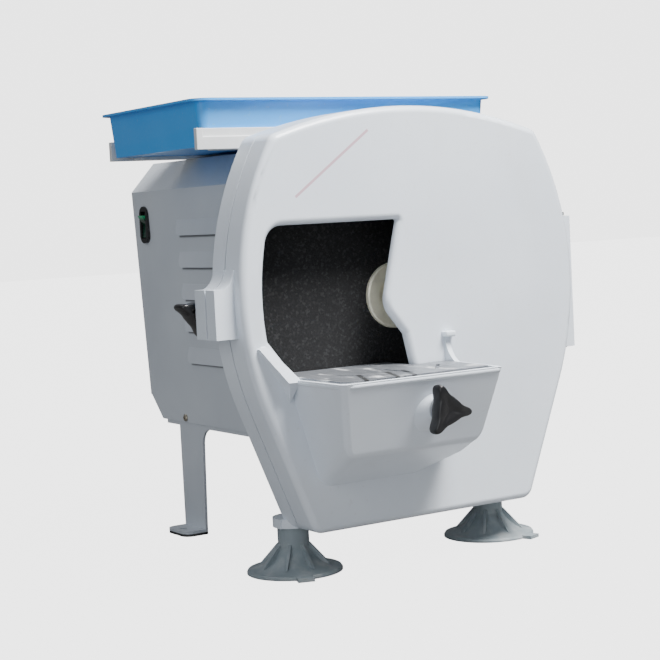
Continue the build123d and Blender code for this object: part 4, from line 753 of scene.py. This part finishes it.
brass = Finish("brassed_screw")
tarnish = brass.cloud(0.0016, 4)
brassed_screw = brass.surface(
    {
        "Base Color": brass.between(tarnish, (0.66, 0.60, 0.48, 1), (0.42, 0.38, 0.31, 1)),
        "Metallic": 1.0,
        "Roughness": tarnish * 0.25 + 0.2,
        "Normal": brass.relief(brass.cloud(0.0004, 2), 0.00002, 0.5),
    }
)
head_radius, head_height = 0.0036, 0.00216
screws_low, screws_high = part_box("cover_screws")
screw_spots = [
    (x, y, (screws_low.z + screws_high.z) / 2)
    for x in (screws_low.x + head_height, screws_high.x - head_height)
    for y in (screws_low.y + head_radius, screws_high.y - head_radius)
]
outward = [(-1, 0, 0)] * 2 + [(1, 0, 0)] * 2
cover_heads = screw_row("cover_heads", screw_spots, outward, head_radius, 7, brassed_screw)
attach(cover_heads, "base")
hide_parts("cover_screws")

# Foot pads and cord gland
# Moulded rubber pads are glued under the feet of the chassis. The gland is a black nylon
# moulding, screwed into the rear panel.

pad_rubber = soft_rubber("pad_rubber", (0.03, 0.03, 0.032, 1), (0.09, 0.09, 0.09, 1), 0.012)
gland_plastic = moulded_plastic(
    "gland_plastic", (0.02, 0.02, 0.02, 1), (0.05, 0.05, 0.05, 1), 0.42, 0.0001
)
dress(pad_rubber, "foot_pads")
dress(gland_plastic, "cord_gland")

# Switch
# A black moulded bezel snaps into the cover and holds a rocker of clear dark green plastic.
# The tip of the rocker carries a faint painted glow, which stands in for light on its top.

switch_black = moulded_plastic(
    "switch_black", (0.012, 0.012, 0.012, 1), (0.03, 0.03, 0.03, 1), 0.35, 0.00008
)
dress(switch_black, "switch_body")

rocker = Finish("rocker_green")
depth = rocker.cloud(0.006, 2)
# Painted glow: emission that lightens the top of the rocker.
painted_glow_share = rocker.step(rocker.along("Z"), 0.3035, 0.3085)
rocker_green = rocker.surface(
    {
        "Base Color": rocker.between(depth, (0.004, 0.03, 0.018, 1), (0.01, 0.06, 0.035, 1)),
        "Roughness": depth * 0.1 + 0.14,
        "Emission Color": rocker.between(painted_glow_share, (0, 0, 0, 1), (0.01, 0.16, 0.07, 1)),
        "Emission Strength": 0.8,
    }
)
dress(rocker_green, "switch_rocker")

# Pan
# A light blue laboratory pan, moulded of thin glossy plastic, lies loose on the rails. It is
# clouded a little and scuffed by use.

pan = Finish("pan_blue")
swirl = pan.cloud(0.05, 4)
scuff = pan.step(pan.cloud(0.004, 3, (1, 6, 1)), 0.62, 0.72)
pan_tone = pan.between(swirl, (0.045, 0.36, 0.90, 1), (0.075, 0.42, 0.95, 1))
pan_blue = pan.surface(
    {
        "Base Color": pan.between(scuff * 0.25, pan_tone, (0.25, 0.5, 0.72, 1)),
        "Roughness": swirl * 0.15 + 0.26,
        "Coat Weight": 0.2,
        "Normal": pan.relief(pan.cloud(0.003, 2), 0.0001, 0.3),
    }
)
dress(pan_blue, "utility_tray")

# Rails
# Two off-white plastic mouldings fixed across the roof of the cover. Each has a recessed
# band between closed ends, and a short foot under the pan.

rail_plastic = moulded_plastic(
    "rail_plastic", (0.70, 0.71, 0.71, 1), (0.78, 0.79, 0.79, 1), 0.4, 0.0001
)


def tray_rail(name, node, outward, trim):
    """Rail in place of a CAD rail; outward is the sign of its outer side along Y."""
    wall, recess, end_width = 0.005, 0.002, 0.006
    foot_height, foot_reach, foot_inset = 0.003, 0.018, 0.022
    low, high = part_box(node)
    outer = low.y if outward < 0 else high.y
    inner = outer - outward * wall
    left, right = low.x + trim, high.x - trim
    ledge = low.z + (high.z - low.z) * 0.6
    form = bmesh.new()
    rows = []
    for x, sunk in (
        (left, 0),
        (left + end_width, 0),
        (left + end_width, 1),
        (right - end_width, 1),
        (right - end_width, 0),
        (right, 0),
    ):
        face = outer - outward * recess * sunk
        shape = (
            (inner, low.z),
            (inner, high.z),
            (face, high.z),
            (face, ledge),
            (outer, ledge),
            (outer, low.z),
        )
        rows.append([form.verts.new((x, y, z)) for y, z in shape])
    for first, second in zip(rows, rows[1:]):
        band(form, first, second)
    form.faces.new(rows[0][::-1])
    form.faces.new(rows[-1])
    bmesh.ops.remove_doubles(form, verts=form.verts, dist=1e-6)
    bmesh.ops.dissolve_degenerate(form, edges=form.edges[:], dist=1e-6)
    toe, instep = inner - outward * foot_reach, low.z + foot_height
    sole = ((inner, low.z), (inner, instep), (toe, instep), (toe, low.z))
    near_end, far_end = (
        [form.verts.new((x, y, z)) for y, z in sole] for x in (left + foot_inset, right - foot_inset)
    )
    band(form, near_end, far_end)
    form.faces.new(near_end[::-1])
    form.faces.new(far_end)
    rail = placed(name, mesh_from(form, name, rail_plastic))
    edge = rail.modifiers.new("edge", "BEVEL")
    edge.width = 0.0005
    edge.segments = 3
    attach(rail, "base")
    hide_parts(node)


tray_rail("front_rail", "tray_rail_front", -1, 0.0)
tray_rail("rear_rail", "tray_rail_rear", 1, 0.007)

# Work table
# A cut aluminium plate, scratched by plaster models and patched with dried plaster. Three
# grooves are painted near black along their length. The plate tilts on a turned rod over a cast
# bracket.

plate = Finish("scratched_plate")
lengthways = plate.cloud(0.0016, 4, (0.06, 1, 1), (0, 0, 0.5))
crossways = plate.cloud(0.002, 4, (1, 0.07, 1), (0, 0, 0.35))
scratch = plate.step(lengthways, 0.56, 0.66) * 0.6 + plate.step(crossways, 0.58, 0.68) * 0.6
chalk = plate.step(plate.cloud(0.014, 6, (1, 0.5, 1), (0, 0, 0.4)), 0.55, 0.72)
bare, oxide = (0.12, 0.13, 0.145, 1), (0.27, 0.285, 0.31, 1)
plate_tone = plate.between(plate.cloud(0.03, 3), bare, oxide)
plate_tone = plate.between(scratch * 0.5, plate_tone, (0.55, 0.56, 0.58, 1))
plate_tone = plate.between(chalk * 0.7, plate_tone, (0.78, 0.79, 0.79, 1))
groove_ends = (
    ((-0.0818, -0.1633), (-0.1010, -0.2050)),
    ((-0.0548, -0.1640), (-0.0710, -0.2050)),
    ((-0.0382, -0.1640), (-0.0550, -0.2050)),
)
groove_edge, groove_floor, groove_end = 0.0026, 0.0016, 0.001
# Each groove is painted near black along its length.
for back, front in groove_ends:
    run = Vector(front) - Vector(back)
    way = run.normalized()
    from_x = plate.along("X") - back[0]
    from_y = plate.along("Y") - back[1]
    aside = plate.distance(from_x * way.y - from_y * way.x)
    forth = from_x * way.x + from_y * way.y
    groove_darkening = plate.step(aside, groove_edge, groove_floor)
    groove_darkening = groove_darkening * plate.step(forth, -groove_end, groove_end)
    groove_darkening = groove_darkening * plate.step(forth, run.length + groove_end, run.length - groove_end)
    plate_tone = plate.between(groove_darkening * 0.9, plate_tone, (0.05, 0.05, 0.05, 1))
scratched_plate = plate.surface(
    {
        "Base Color": plate_tone,
        "Metallic": 0.45 - chalk * 0.4,
        "Roughness": chalk * 0.2 + 0.42 - scratch * 0.1,
        "Normal": plate.relief(scratch, 0.0002, 0.6),
    }
)
dress(scratched_plate, "work_table")
dress(turned_alloy, "table_bracket")
dress(turned_metal("stud_steel", steel, 0.2, middle("table_stud"), (1, 0, 1)), "table_stud")
dress(turned_metal("rod_steel", steel, 0.2, middle("tilt_rod"), (0, 1, 1)), "tilt_rod")
star_knob("clamp_grip", "table_knob", "table_clamp", "table_stud", -9, 0.0228)

# Water parts
# A bent steel tube sprays the disc and is furred with lime. The hose tail is turned brass
# and the drain spout a gray plastic moulding, both pressed into the housing.

tube = Finish("tube_steel")
lime = tube.step(tube.cloud(0.008, 5), 0.5, 0.8)
tube_steel = tube.surface(
    {
        "Base Color": tube.between(lime, (0.62, 0.62, 0.61, 1), (0.78, 0.77, 0.74, 1)),
        "Metallic": 1.0 - lime * 0.7,
        "Roughness": lime * 0.4 + 0.2,
    }
)
inlet_brass = turned_metal(
    "inlet_brass", (0.76, 0.56, 0.27, 1), 0.25, middle("water_inlet"), (1, 0, 1)
)
spout_gray = moulded_plastic(
    "spout_gray", (0.10, 0.11, 0.12, 1), (0.16, 0.17, 0.18, 1), 0.45, 0.0001
)
dress(tube_steel, "water_tube")
dress(inlet_brass, "water_inlet")
dress(spout_gray, "drain_spout")

# Suction cups
# Two cups of gray rubber moulded on steel studs, which pass through the lugs of the housing.
# They are chalky with plaster dust towards the skirt.

cup = Finish("cup_rubber")
towards_skirt = cup.step(cup.along("Z"), 0.045, 0.0)
bloom = cup.step(cup.cloud(0.012, 5), 0.4, 0.75)
cup_gray, cup_dust = (0.26, 0.31, 0.335, 1), (0.40, 0.43, 0.44, 1)
cup_rubber = cup.surface(
    {
        "Base Color": cup.between(bloom * towards_skirt, cup_gray, cup_dust),
        "Roughness": bloom * 0.2 + 0.42,
        "Normal": cup.relief(cup.cloud(0.0012, 3), 0.00012, 0.5),
    }
)
dress(cup_rubber, "suction_cup_left", "suction_cup_right")
